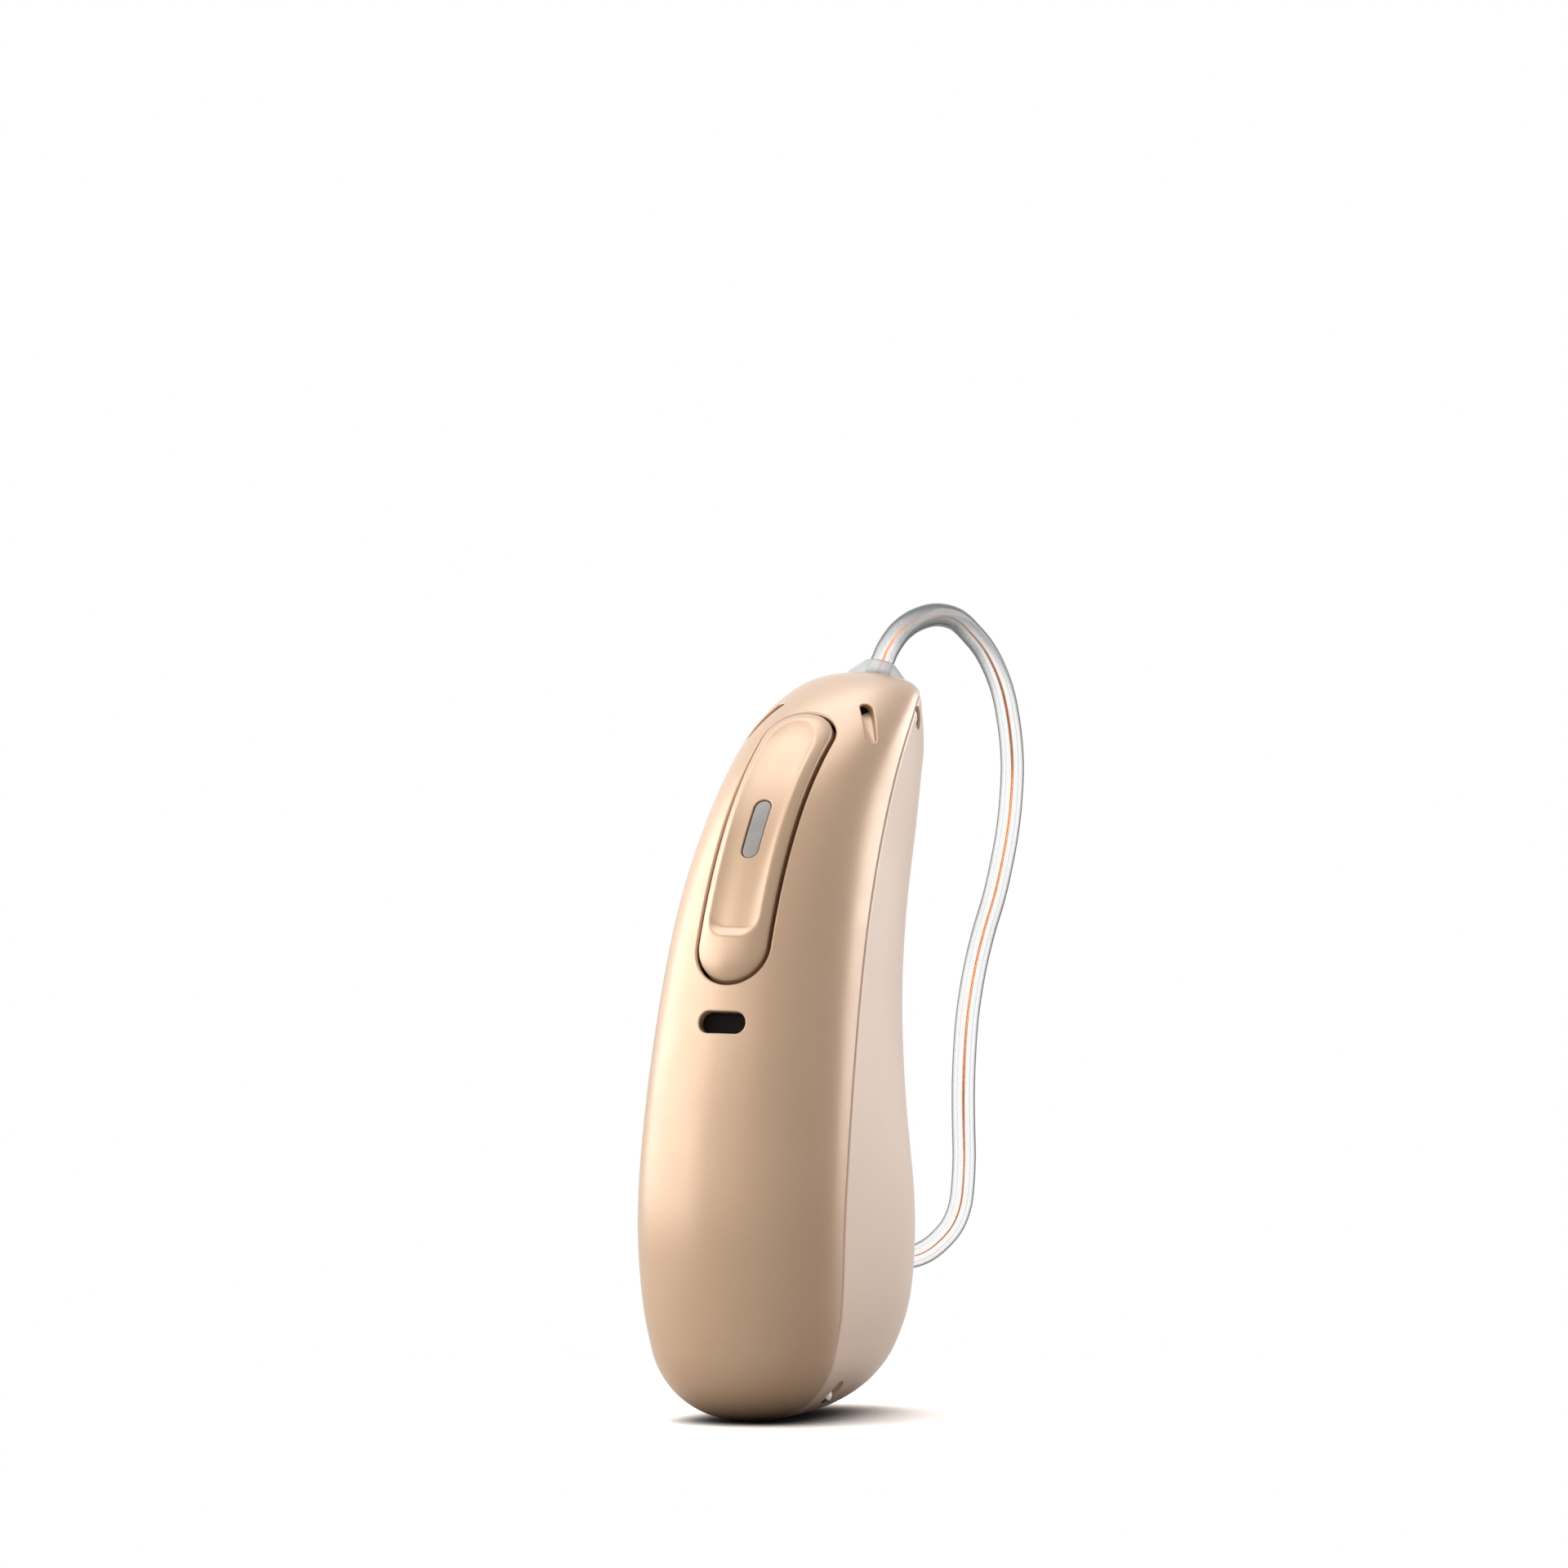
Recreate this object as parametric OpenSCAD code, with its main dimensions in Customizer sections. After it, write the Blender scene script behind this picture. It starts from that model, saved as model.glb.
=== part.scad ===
// Behind the ear hearing aid with its receiver in the ear canal.
// The housing stands on its lower end. The spine with its button faces -Y, the head side is +Y,
// +Z is up, and the origin is the lowest point of the housing. All lengths are in millimetres.

/* [Housing] */
// Height of the seam, from the lowest point to the tip
body_h = 29.8; // [28.6:0.1:33]
// Width of the housing at its widest
body_w = 9.15; // [9:0.05:10.6]
// Depth of the lower housing, from the spine to the face that lies against the head
body_d = 14.7; // [14.2:0.1:16.5]
// Wall of the two lacquered shells
wall = 0.7; // [0.55:0.05:0.8]
// Clearance between pieces that are fitted into each other
fit_gap = 0.03; // [0.02:0.01:0.05]

/* [Rocker button] */
// Length of the button
button_l = 13.1; // [12.2:0.1:13.6]
// Width of the button
button_w = 3.3; // [3:0.1:3.5]
// Thickness of the button
button_t = 0.85; // [0.75:0.05:0.95]
// How far the button stands proud of the spine
button_proud = 0.06; // [0:0.01:0.1]
// Gap all round the button
button_gap = 0.16; // [0.12:0.01:0.22]
// Radius of the finger scoop, across the button
scoop_r = 2.4; // [2:0.1:3]
// Depth of the finger scoop
scoop_depth = 0.34; // [0.2:0.02:0.4]
// Length of the indicator window
window_l = 2.4; // [1.8:0.1:3]
// Width of the indicator window
window_w = 0.8; // [0.6:0.05:1]
// Diameter of the two rocker pins
rocker_pin_d = 0.6; // [0.5:0.05:0.7]
// Length of each rocker pin
rocker_pin_l = 1.3; // [1.2:0.05:1.5]
// Diameter of a switch dome
dome_d = 1.5; // [1.2:0.1:1.7]

/* [Microphones] */
// Length of the rear microphone inlet, across the spine
rear_inlet_l = 2.15; // [1.8:0.05:2.4]
// Width of the rear microphone inlet
rear_inlet_w = 0.9; // [0.7:0.05:1]
// Length of each front microphone inlet
front_inlet_l = 2.2; // [1.9:0.05:2.4]
// Width of each front microphone inlet
front_inlet_w = 0.75; // [0.6:0.05:0.85]
// Length of a microphone capsule
mic_l = 2.7; // [2.4:0.1:2.9]
// Width of a microphone capsule
mic_w = 1.8; // [1.5:0.1:2]
// Height of a microphone capsule
mic_h = 0.9; // [0.8:0.05:1]

/* [Cross pins] */
// Diameter of the cross holes in the shells
pin_hole_d = 0.9; // [0.8:0.05:1]
// Length of the upper pin, which locks the cable plug
receiver_pin_l = 5; // [4.6:0.1:5.2]
// Length of the lower pin, which locks the two shells
housing_pin_l = 4.7; // [4.3:0.1:4.9]

/* [Power] */
// Diameter of the battery cell
battery_d = 5.8; // [5.4:0.1:6]
// Length of the battery cell
battery_l = 11.4; // [10.8:0.1:11.6]
// Outer diameter of the charging coil
coil_d = 4.6; // [4:0.1:4.8]
// Bore of the charging coil
coil_bore = 2; // [1.6:0.1:2.6]
// Height of the charging coil
coil_h = 0.9; // [0.7:0.05:1]
// Thickness of the ferrite sheet above the coil
ferrite_t = 0.3; // [0.2:0.05:0.4]

/* [Cable] */
// Outer diameter of the clear tube
tube_d = 1; // [0.9:0.05:1.1]
// Bore of the clear tube
tube_bore = 0.56; // [0.5:0.02:0.6]
// Diameter of each wire
wire_d = 0.12; // [0.08:0.01:0.14]
// Diameter of the clear plug where it leaves the housing
plug_d = 2.75; // [2.5:0.05:2.9]
// Height of the tapered end of the plug
plug_taper_h = 0.75; // [0.6:0.05:1]
// Diameter of the plug inside the housing
plug_body_d = 1.9; // [1.7:0.05:2]
// Length of the plug inside the housing
plug_body_l = 3; // [2.8:0.1:3.2]

/* [Receiver] */
// Diameter of the receiver's case
receiver_d = 3.6; // [3.4:0.1:3.8]
// Length of the receiver's case
receiver_l = 6; // [5.6:0.1:6.4]
// Wall of the receiver's case
receiver_wall = 0.3; // [0.25:0.05:0.35]
// Diameter of the rubber boot at the case
boot_d = 1.7; // [1.5:0.1:1.8]
// Length of the rubber boot
boot_l = 1.9; // [1.7:0.1:2.1]
// Diameter of the sound spout
spout_d = 1.5; // [1.4:0.05:1.6]
// Length of the sound spout
spout_l = 2.2; // [2:0.1:2.4]
// Diameter of the soft ear dome
ear_dome_d = 6.4; // [5:0.2:8]
// Length of the soft ear dome
ear_dome_l = 3.4; // [3.2:0.1:3.8]
// Wall of the soft ear dome
ear_dome_wall = 0.35; // [0.3:0.05:0.45]
// Diameter of the socket for a retention tail
tail_bore = 0.7; // [0.6:0.05:0.8]
// Depth of the socket for a retention tail
tail_depth = 1.2; // [1:0.1:1.4]

/* [Hidden] */

// Each row is one station up the seam. Its shares are the seam point's depth (of body_d) and
// height (of body_h), the lean of the outward normal in degrees, the depths to the spine and to
// the inner face (of body_d), and the half width (of half body_w).
seam_shares = [
    [0.000, 0.000, 0, 0.211, 0.497, 0.765],
    [-0.024, 0.080, 0, 0.218, 0.653, 0.852],
    [-0.034, 0.154, 0, 0.225, 0.752, 0.951],
    [-0.044, 0.268, 0, 0.225, 0.776, 1.000],
    [-0.014, 0.383, 4, 0.233, 0.707, 1.000],
    [0.037, 0.492, 10, 0.245, 0.626, 0.977],
    [0.112, 0.612, 17, 0.252, 0.548, 0.940],
    [0.204, 0.718, 25, 0.245, 0.493, 0.896],
    [0.330, 0.817, 35, 0.221, 0.446, 0.835],
    [0.473, 0.904, 46, 0.155, 0.401, 0.774],
    [0.616, 0.958, 57, 0.102, 0.344, 0.688],
    [0.760, 0.9895, 66, 0.061, 0.286, 0.560],
    [0.930, 0.990, 75, 0.047, 0.242, 0.360]
];
last = len(seam_shares) - 1;
// Stations over which the lower end and the tip round off
lower_turn = 1.25;
tip_turn = 1.1;
// Exponents of the ring: round on the spine side, squarer on the head side
spine_power = 2.15;
head_power = 4;
// How much the sides draw in towards the head
side_taper_share = 0.16;

// The seam table in millimetres
seam_rows = [
    for (s = seam_shares)
        [s[0] * body_d, s[1] * body_h, s[2], s[3] * body_d, s[4] * body_d, s[5] * body_w / 2]
];

function row(i) =
    i < 0 ? 2 * seam_rows[0] - seam_rows[1]
    : i > last ? 2 * seam_rows[last] - seam_rows[last - 1]
    : seam_rows[i];

// The housing's sizes at any station, on a smooth curve through the table's rows
function station(t) =
    let (i = min(max(floor(t), 0), last - 1), u = t - i)
    let (a = row(i - 1), b = row(i), c = row(i + 1), d = row(i + 2))
    (2 * b + (c - a) * u + (2 * a - 5 * b + 4 * c - d) * u * u
        + (3 * b - a - 3 * c + d) * u * u * u) / 2;

// The station at which the seam reaches a height, found by halving the span
function station_at(z, from = 0, to = last, turns = 20) =
    let (mid = (from + to) / 2)
    turns == 0 ? mid
    : station(mid)[1] < z ? station_at(z, mid, to, turns - 1)
    : station_at(z, from, mid, turns - 1);

// How full the ring is: 1 along the housing, falling to 0 round the two ends
function fullness(t) =
    t < lower_turn ? sqrt(max(0, 1 - pow(1 - t / lower_turn, 2)))
    : t > last - tip_turn ? sqrt(max(0, 1 - pow(1 - (last - t) / tip_turn, 2)))
    : 1;

// One point of the housing's skin at station t and ring angle a, set in by the depth g.
// The angle is 0 at the seam on +X, 90 on the spine, 180 at the other seam, 270 on the head side.
function ring_point(q, e, ends, a, g) =
    let (s = sin(a), c = cos(a), back = s >= 0, n = back ? spine_power : head_power)
    let (v = pow(abs(s), 2 / n), x = sign(c) * pow(abs(c), 2 / n))
    let (d = (back ? v * (q[3] - g) : -v * (q[4] - g)) * e, up = g * (1 - e) * ends)
    [
        x * (q[5] - g) * e * (back ? 1 : 1 - side_taper_share * v),
        q[0] - d * cos(q[2]) + up * sin(q[2]),
        q[1] + d * sin(q[2]) + up * cos(q[2])
    ];

function ring(t, angles, g) =
    let (q = station(t), e = fullness(t), ends = t < last / 2 ? 1 : -1)
    [for (a = angles) ring_point(q, e, ends, a, g)];

function skin(t, a, g) = ring(t, [a], g)[0];

// A point in the middle plane, the depth d from the seam towards the head
function inside(t, d) =
    let (q = station(t))
    [0, q[0] + d * cos(q[2]), q[1] - d * sin(q[2])];

// A point in the middle plane, the depth g under the spine
function under_spine(t, g) = inside(t, g - station(t)[3]);

// The lean of a line at one depth from the seam, or under the spine
function seam_lean(t, d) =
    let (v = inside(t + strip_step, d) - inside(t - strip_step, d)) atan2(v[1], v[2]);

function spine_lean(t, g) =
    let (v = under_spine(t + strip_step, g) - under_spine(t - strip_step, g)) atan2(v[1], v[2]);

function steps(from, to, count) = [for (i = [0 : count]) from + (to - from) * i / count];

// Puts children at a point, with +Y towards the head and +Z up along the seam there
module stand_at(point, lean) {
    translate(point) rotate([-lean, 0, 0]) children();
}

// The same, with +Z out of the spine and +Y up along it
module face_out(point, lean) {
    stand_at(point, lean) rotate([90, 0, 0]) children();
}

// A closed skin between an outer and an inner grid of points. With poles, the first and last
// rows shrink to one point each.
module grid_solid(outer, inner, poles = false) {
    rows = len(outer) - 1;
    cols = len(outer[0]) - 1;
    half = (rows + 1) * (cols + 1);
    function at(i, j, side) =
        side * half + (poles && (i == 0 || i == rows) ? i * (cols + 1) : i * (cols + 1) + j);
    sheets = [
        for (i = [0 : rows - 1], j = [0 : cols - 1])
            let (a = at(i, j, 0), b = at(i, j + 1, 0), c = at(i + 1, j + 1, 0))
            let (d = at(i + 1, j, 0))
            each [[a, b, c], [a, c, d], [c + half, b + half, a + half],
                [d + half, c + half, a + half]]
    ];
    sides = [
        for (i = [0 : rows - 1])
            let (a = at(i, 0, 0), b = at(i + 1, 0, 0), c = at(i, cols, 0))
            let (d = at(i + 1, cols, 0))
            each [[a, b, b + half], [a, b + half, a + half], [d, c, c + half],
                [d, c + half, d + half]]
    ];
    ends = poles ? [] : [
        for (j = [0 : cols - 1])
            let (a = at(0, j, 0), b = at(0, j + 1, 0), c = at(rows, j, 0))
            let (d = at(rows, j + 1, 0))
            each [[b, a, a + half], [b, a + half, b + half], [c, d, d + half],
                [c, d + half, c + half]]
    ];
    polyhedron(
        points = concat([for (r = outer) each r], [for (r = inner) each r]),
        faces = [
            for (f = concat(sheets, sides, ends))
                if (f[0] != f[1] && f[1] != f[2] && f[2] != f[0]) f
        ],
        convexity = 8
    );
}

// The stations of the rings, close together round the two ends
end_angles = steps(0, 90, 6);
shell_stations = concat(
    [for (a = end_angles) lower_turn * (1 - cos(a))],
    [for (i = [1 : 23]) lower_turn + (last - tip_turn - lower_turn) * i / 24],
    [for (a = end_angles) last - tip_turn * (1 - cos(90 - a))]
);

// A shell of the housing between two ring angles, as thick as the wall
module housing_shell(angles) {
    grid_solid(
        [for (t = shell_stations) ring(t, angles, 0)],
        [for (t = shell_stations) ring(t, angles, wall)],
        poles = true
    );
}

// A piece of sheet that follows the housing's skin between two depths
module skin_patch(stations, angles, g0, g1) {
    grid_solid([for (t = stations) ring(t, angles, g0)], [for (t = stations) ring(t, angles, g1)]);
}

// A strip that follows the seam, or the spine, at a constant depth and width
module strip(near, far, half_w) {
    rotate([90, 0, 90]) translate([0, 0, -half_w]) linear_extrude(2 * half_w)
        polygon([for (p = concat(near, [for (i = [len(far) - 1 : -1 : 0]) far[i]])) [p[1], p[2]]]);
}

// Strips that lie on each other share their stations, so their faces meet
strip_step = 0.25;

module seam_strip(t0, t1, d0, d1, half_w) {
    ts = steps(t0, t1, ceil((t1 - t0) / strip_step));
    strip([for (t = ts) inside(t, d0)], [for (t = ts) inside(t, d1)], half_w);
}

module spine_strip(t0, t1, g0, g1, half_w) {
    ts = steps(t0, t1, ceil((t1 - t0) / strip_step));
    strip([for (t = ts) under_spine(t, g0)], [for (t = ts) under_spine(t, g1)], half_w);
}

// A flat oblong with round ends, lying along X
module oblong(l, w, h) {
    linear_extrude(h) union() {
        square([l - w, w], center = true);
        for (side = [-1, 1]) translate([side * (l - w) / 2, 0]) circle(d = w, $fn = 48);
    }
}

// A box centred on X and Y, standing on Z = 0
module block(x, y, z) {
    translate([-x / 2, -y / 2, 0]) cube([x, y, z]);
}

// A cylinder along X, centred
module cross_rod(d, l) {
    rotate([0, 90, 0]) translate([0, 0, -l / 2]) cylinder(d = d, h = l, $fn = 48);
}

// Length by which a cut runs past the surface that it opens
overrun = 1;

// Places of the button: its middle station, and the lean of the direction it is moulded in
button_mid = 7.44;
button_lean = 37.5;
button_place = skin(button_mid, 90, 0);
// The stations and the ring angles that a sheet needs either way to be larger than the button
button_reach = 6 * button_l / body_h;
button_turn = 105 * button_w / body_w;
// Shift of the window along the button, from its middle
window_shift = 0.05 * button_l;
// Centre of the spine's curve along the button, and the turns at which the scoop's ends lie
scoop_centre = [0, 0.874 * body_d, 0.516 * body_h];
scoop_from = 123.5;
scoop_to = 157.5;
// The rocker pins lie this deep under the button's outer face
rocker_depth = button_t + 1.35 * rocker_pin_d;
rocker_lug_d = 1.4 * rocker_pin_d;
rocker_lug_w = 0.38 * rocker_pin_l;
// The lugs stand either side of the lamp, and the brackets just outside them
rocker_lug_x = 0.23 * button_w;
bracket_x = rocker_lug_x + rocker_lug_w + fit_gap;
// Free travel of the nubs under the button's ends, to the domes
nub_travel = 0.3 * button_t;
nub_h = 0.3 * button_t;
nub_d = 0.6 * dome_d;
dome_h = 0.1 * dome_d;
switch_l = 1.3 * dome_d;
switch_h = 0.5;
board_t = 0.35;
// Depth of the switch board's outer face under the spine
board_depth = button_t + nub_h + nub_travel + dome_h + switch_h;
switch_stations = [6.25, 8.75];

// Pulls children into the button's own frame: +Z out of the spine, +Y up along it
module button_frame() {
    face_out(button_place, button_lean) children();
}

module button_outline(grow) {
    rotate([0, 0, 90]) oblong(button_l + 2 * grow, button_w + 2 * grow, button_l / 2);
}

// Cut the button's outline through the spine
module button_cut(grow) {
    button_frame() translate([0, 0, -button_l / 4 - overrun / 2]) button_outline(grow);
}

// The finger scoop is cut by an arc of a ring with round ends, which follows the spine
module scoop_cut() {
    ring_r = norm(under_spine(button_mid, 0) - scoop_centre) + button_proud - scoop_depth + scoop_r;
    translate(scoop_centre) rotate([90, 0, 90]) union() {
        rotate([0, 0, scoop_from]) rotate_extrude(angle = scoop_to - scoop_from, $fn = 180)
            translate([ring_r, 0]) circle(r = scoop_r, $fn = 64);
        for (a = [scoop_from, scoop_to])
            rotate([0, 0, a]) translate([ring_r, 0]) sphere(r = scoop_r, $fn = 64);
    }
}

rear_inlet_station = 5.36;
front_inlet_station = 9.28;
front_inlet_angle = 48;
// Turn of the front inlets in the skin, and how far they lean over to the side
front_inlet_turn = 32;
front_inlet_roll = 40;
screen_t = 0.15 * wall;
screen_depth = 0.75 * wall;

module rear_inlet(grow, h) {
    q = station(rear_inlet_station);
    face_out(skin(rear_inlet_station, 90, 0), q[2])
        translate([0, 0, -h]) oblong(rear_inlet_l + grow, rear_inlet_w + grow, h + overrun);
}

module front_inlet_frame(side) {
    q = station(front_inlet_station);
    p = skin(front_inlet_station, front_inlet_angle, 0);
    face_out([side * p[0], p[1], p[2]], q[2])
        rotate([0, side * front_inlet_roll, 0]) rotate([0, 0, side * front_inlet_turn])
        rotate([0, 0, 90]) children();
}

module front_inlet(side, h) {
    front_inlet_frame(side)
        translate([0, 0, -h]) oblong(front_inlet_l, front_inlet_w, h + overrun);
}

// Places of the two cross pins, in the middle plane
receiver_pin_station = 10.42;
housing_pin_station = 0.46;
receiver_pin_place = inside(receiver_pin_station, 0.05 * body_d);
housing_pin_place = inside(housing_pin_station, 0.12 * body_d);
steel_pin_d = pin_hole_d - 2 * fit_gap;

// The clear plug: where its axis leaves the housing, and how far it leans towards the head
plug_place = [0, 0.8395 * body_d, 1.005 * body_h];
plug_lean = 24;
plug_tip_d = 1.35 * tube_d;
socket_wall = 0.3;
socket_l = 0.32 * plug_body_l;
contact_h = 0.1 * plug_body_l;

module plug_frame() {
    translate(plug_place) rotate([-plug_lean, 0, 0]) children();
}

module plug_hole() {
    plug_frame() translate([0, 0, -plug_body_l / 2])
        cylinder(d = plug_d + 2 * fit_gap, h = plug_body_l / 2 + overrun, $fn = 64);
}

module cross_pin_holes() {
    for (p = [receiver_pin_place, housing_pin_place])
        translate(p) cross_rod(pin_hole_d, body_w + overrun);
}

// The two lacquered shells
module spine_cover() {
    color("#cdaa88") difference() {
        housing_shell(steps(0, 180, 16));
        button_cut(button_gap);
        rear_inlet(0, 2 * wall);
        for (side = [-1, 1]) front_inlet(side, 2 * wall);
        plug_hole();
        cross_pin_holes();
    }
}

module inner_shell() {
    color("#e4cbb8") difference() {
        housing_shell(steps(180, 360, 20));
        plug_hole();
        cross_pin_holes();
    }
}

seal_w = 0.5 * wall;
seal_turn = 4;
seal_from = 1;
seal_to = 9.8;

module seam_seals() {
    color("#3c3a38") for (a = [0, 180])
        skin_patch(steps(seal_from, seal_to, 20), steps(a - seal_turn, a + seal_turn, 2),
            wall + fit_gap, wall + seal_w);
}

// A sheet that follows the spine where the button, or a share of it, lies
module button_sheet(share, g0, count) {
    skin_patch(
        steps(button_mid - share * button_reach, button_mid + share * button_reach, count),
        steps(90 - share * button_turn, 90 + share * button_turn, count / 2),
        g0, button_t - button_proud
    );
}

// The button and what it works on
module rocker_button() {
    color("#c39f7c") union() {
        difference() {
            intersection() {
                button_sheet(1, -button_proud, 24);
                button_cut(0);
            }
            button_frame() translate([0, window_shift, -button_l / 4])
                rotate([0, 0, 90]) oblong(window_l, window_w, button_l / 2);
            scoop_cut();
        }
        for (side = [-1, 1]) eye(side * rocker_lug_x, rocker_lug_w, button_t / 2 - rocker_depth);
        for (t = switch_stations) nub(t);
    }
}

module rocker_axis() {
    stand_at(under_spine(button_mid, rocker_depth), 0) children();
}

// An eye on the rocker's axis at x, w wide, with an arm that reaches the length given
module eye(x, w, reach) {
    stand_at(under_spine(button_mid, rocker_depth), spine_lean(button_mid, 0))
        translate([x, 0, 0]) difference() {
            union() {
                cross_rod(rocker_lug_d, w);
                translate([-w / 2, min(reach, 0), -rocker_lug_d / 2])
                    cube([w, abs(reach), rocker_lug_d]);
            }
            cross_rod(rocker_pin_d + 2 * fit_gap, w + overrun);
        }
}

module nub(t) {
    face_out(under_spine(t, button_t + nub_h), spine_lean(t, button_t))
        cylinder(d = nub_d, h = nub_h + button_t / 3, $fn = 32);
}

module indicator_window() {
    color("#aba6a2") difference() {
        intersection() {
            button_sheet(0.5, 0, 10);
            button_frame() translate([0, window_shift, -button_l / 4]) rotate([0, 0, 90])
                oblong(window_l - 2 * fit_gap, window_w - 2 * fit_gap, button_l / 2);
        }
        scoop_cut();
    }
}

module rocker_pins() {
    color("#c9ccd0") rocker_axis() for (side = [-1, 1])
        translate([side * (rocker_lug_x + bracket_x) / 2, 0, 0])
        cross_rod(rocker_pin_d, rocker_pin_l);
}

module switch_bodies() {
    color("#2b2d30") for (t = switch_stations)
        face_out(under_spine(t, board_depth), spine_lean(t, board_depth))
        translate([0, 0, fit_gap]) block(switch_l, switch_l, switch_h - fit_gap);
}

module switch_domes() {
    color("#d8dade") for (t = switch_stations)
        face_out(under_spine(t, board_depth), spine_lean(t, board_depth))
        translate([0, 0, switch_h]) cylinder(d1 = dome_d, d2 = dome_d / 2, h = dome_h, $fn = 48);
}

upper_half_w = 1.7;
upper_from = 5.75;
upper_to = 9.25;

module switch_board() {
    color("#2f6b4a") difference() {
        spine_strip(upper_from, upper_to, board_depth, board_depth + board_t, upper_half_w);
        // Slots for the eyes of the rocker and of its brackets
        for (side = [-1, 1])
            stand_at(under_spine(button_mid, rocker_depth), spine_lean(button_mid, 0))
                translate([side * (rocker_lug_x + bracket_x) / 2, 0, -rocker_lug_d / 2 - fit_gap])
                translate([-rocker_lug_w - 2 * fit_gap, 0, 0])
                cube([2 * rocker_lug_w + 4 * fit_gap, board_depth, rocker_lug_d + 2 * fit_gap]);
    }
}

lamp_station = 7.7;

module status_led() {
    color("#f4f1dc") face_out(under_spine(lamp_station, board_depth),
        spine_lean(lamp_station, board_depth))
        translate([0, 0, fit_gap]) block(0.85 * window_w, 0.85 * window_w, switch_h);
}

// The inner frame: a wall along the seam, a rib under the switches and shelves for the cell
frame_t = 0.6;
frame_depth = 0.35;
frame_half_w = 0.295 * body_w;
pad_t = 0.4;
cell_cap_h = 0.5;
tab_w = 1.4;
tab_t = 0.12;
// Room between the lower pin and the coil. The coil, a shelf and the cell stack up from there.
coil_room = 0.95;
cell_z = housing_pin_place[2] + pin_hole_d / 2 + coil_room + coil_h + ferrite_t + frame_t + tab_t
    + battery_l / 2;
cell_lean = 2.5;
cell_depth = frame_depth + frame_t + battery_d / 2 + 0.25 * battery_d;
cell_station = station_at(cell_z);
// The wall runs from the lower shelf to past the upper one, and the board with it
lower_from = station_at(cell_z - battery_l / 2 - tab_t - 0.4 * frame_t);
lower_to = max(upper_from, station_at(cell_z + battery_l / 2 + pad_t + frame_t));
board_to = lower_to - strip_step;

module cell_frame() {
    stand_at(inside(cell_station, cell_depth), cell_lean) children();
}

// How far the frame's wall lies from the cell's axis, at its lower and at its upper end
wall_reach = [cell_depth - frame_depth - 0.75 * frame_t, 0.62 * battery_d];

// A shelf from the frame's wall out under, or over, the cell
module shelf(z, reach) {
    cell_frame() translate([-0.4 * battery_d, -reach, z])
        cube([0.8 * battery_d, reach + 0.25 * battery_d, frame_t]);
}

module chassis() {
    color("#4a4d52") difference() {
        union() {
            seam_strip(lower_from, lower_to, frame_depth, frame_depth + frame_t, frame_half_w);
            spine_strip(upper_from - strip_step, upper_to, board_depth + board_t,
                board_depth + board_t + frame_t, upper_half_w);
            seam_strip(upper_from - strip_step, upper_from,
                board_depth + board_t + fit_gap - station(upper_from)[3],
                frame_depth + frame_t, upper_half_w);
            shelf(-battery_l / 2 - tab_t - frame_t, wall_reach[0]);
            shelf(battery_l / 2 + pad_t, wall_reach[1]);
            for (side = [-1, 1])
                eye(side * bracket_x, rocker_lug_w,
                    board_depth + board_t + frame_t / 2 - rocker_depth);
        }
        for (z = tab_heights) tab_slot(z);
    }
}

module main_board() {
    color("#2f6b4a")
        seam_strip(lower_from, board_to, frame_depth - board_t - fit_gap,
            frame_depth - fit_gap, frame_half_w);
}

// Sides of the chips, of the cell's radius, and their places, of the board's length
chip_side_shares = [1.15, 0.85, 0.7];
chip_place_shares = [0.575, 0.32, 0.12];
chip_h = 0.5;

module chip(i) {
    t = lower_from + chip_place_shares[i] * (board_to - lower_from);
    size = chip_side_shares[i] * battery_d / 2;
    face_out(inside(t, frame_depth - board_t), seam_lean(t, frame_depth - board_t))
        translate([0, 0, 3 * fit_gap]) block(size, size, chip_h);
}

module sound_processor() {
    color("#1d1f22") chip(0);
}

module radio_chip() {
    color("#26292d") chip(1);
}

module power_chip() {
    color("#303338") chip(2);
}

antenna_t = 0.12;
antenna_stations = steps(3, 8, 16);
antenna_angles = steps(152, 163, 4);

module antenna() {
    color("#c98a4b") skin_patch(antenna_stations, antenna_angles, wall + fit_gap,
        wall + fit_gap + antenna_t);
}

// Microphones, their rubber gaskets and their mesh screens
gasket_t = 0.25;

front_mic_station = 9.74;

// The place of a microphone's sound port, with +Z out of the spine
module mic_frame(t) {
    face_out(under_spine(t, wall + 2 * gasket_t), spine_lean(t, wall)) children();
}

module mic(t) {
    mic_frame(t) translate([0, 0, -mic_h]) block(mic_l, mic_w, mic_h);
}

module front_microphone() {
    color("#c8ccd0") mic(front_mic_station);
}

module rear_microphone() {
    color("#c8ccd0") mic(rear_inlet_station);
}

module microphone_gaskets() {
    color("#2a2a2c") for (t = [rear_inlet_station, front_mic_station]) mic_frame(t) difference() {
        oblong(rear_inlet_l, 0.8 * mic_w, gasket_t);
        translate([0, 0, -overrun / 2]) cylinder(d = mic_w / 3, h = overrun, $fn = 32);
    }
}

module inlet_screens() {
    color("#6b5a4c") {
        face_out(skin(rear_inlet_station, 90, screen_depth), station(rear_inlet_station)[2])
            oblong(rear_inlet_l - 2 * fit_gap, rear_inlet_w - 2 * fit_gap, screen_t);
        for (side = [-1, 1]) front_inlet_frame(side) translate([0, 0, -screen_depth - screen_t])
            oblong(front_inlet_l - 2 * fit_gap, front_inlet_w - 2 * fit_gap, screen_t);
    }
}

// Power
module battery_cell() {
    color("#b9bcc1") cell_frame() translate([0, 0, -battery_l / 2]) union() {
        cylinder(d = battery_d, h = battery_l - cell_cap_h, $fn = 96);
        translate([0, 0, battery_l - cell_cap_h])
            cylinder(d = 0.7 * battery_d, h = cell_cap_h, $fn = 96);
    }
}

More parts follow.
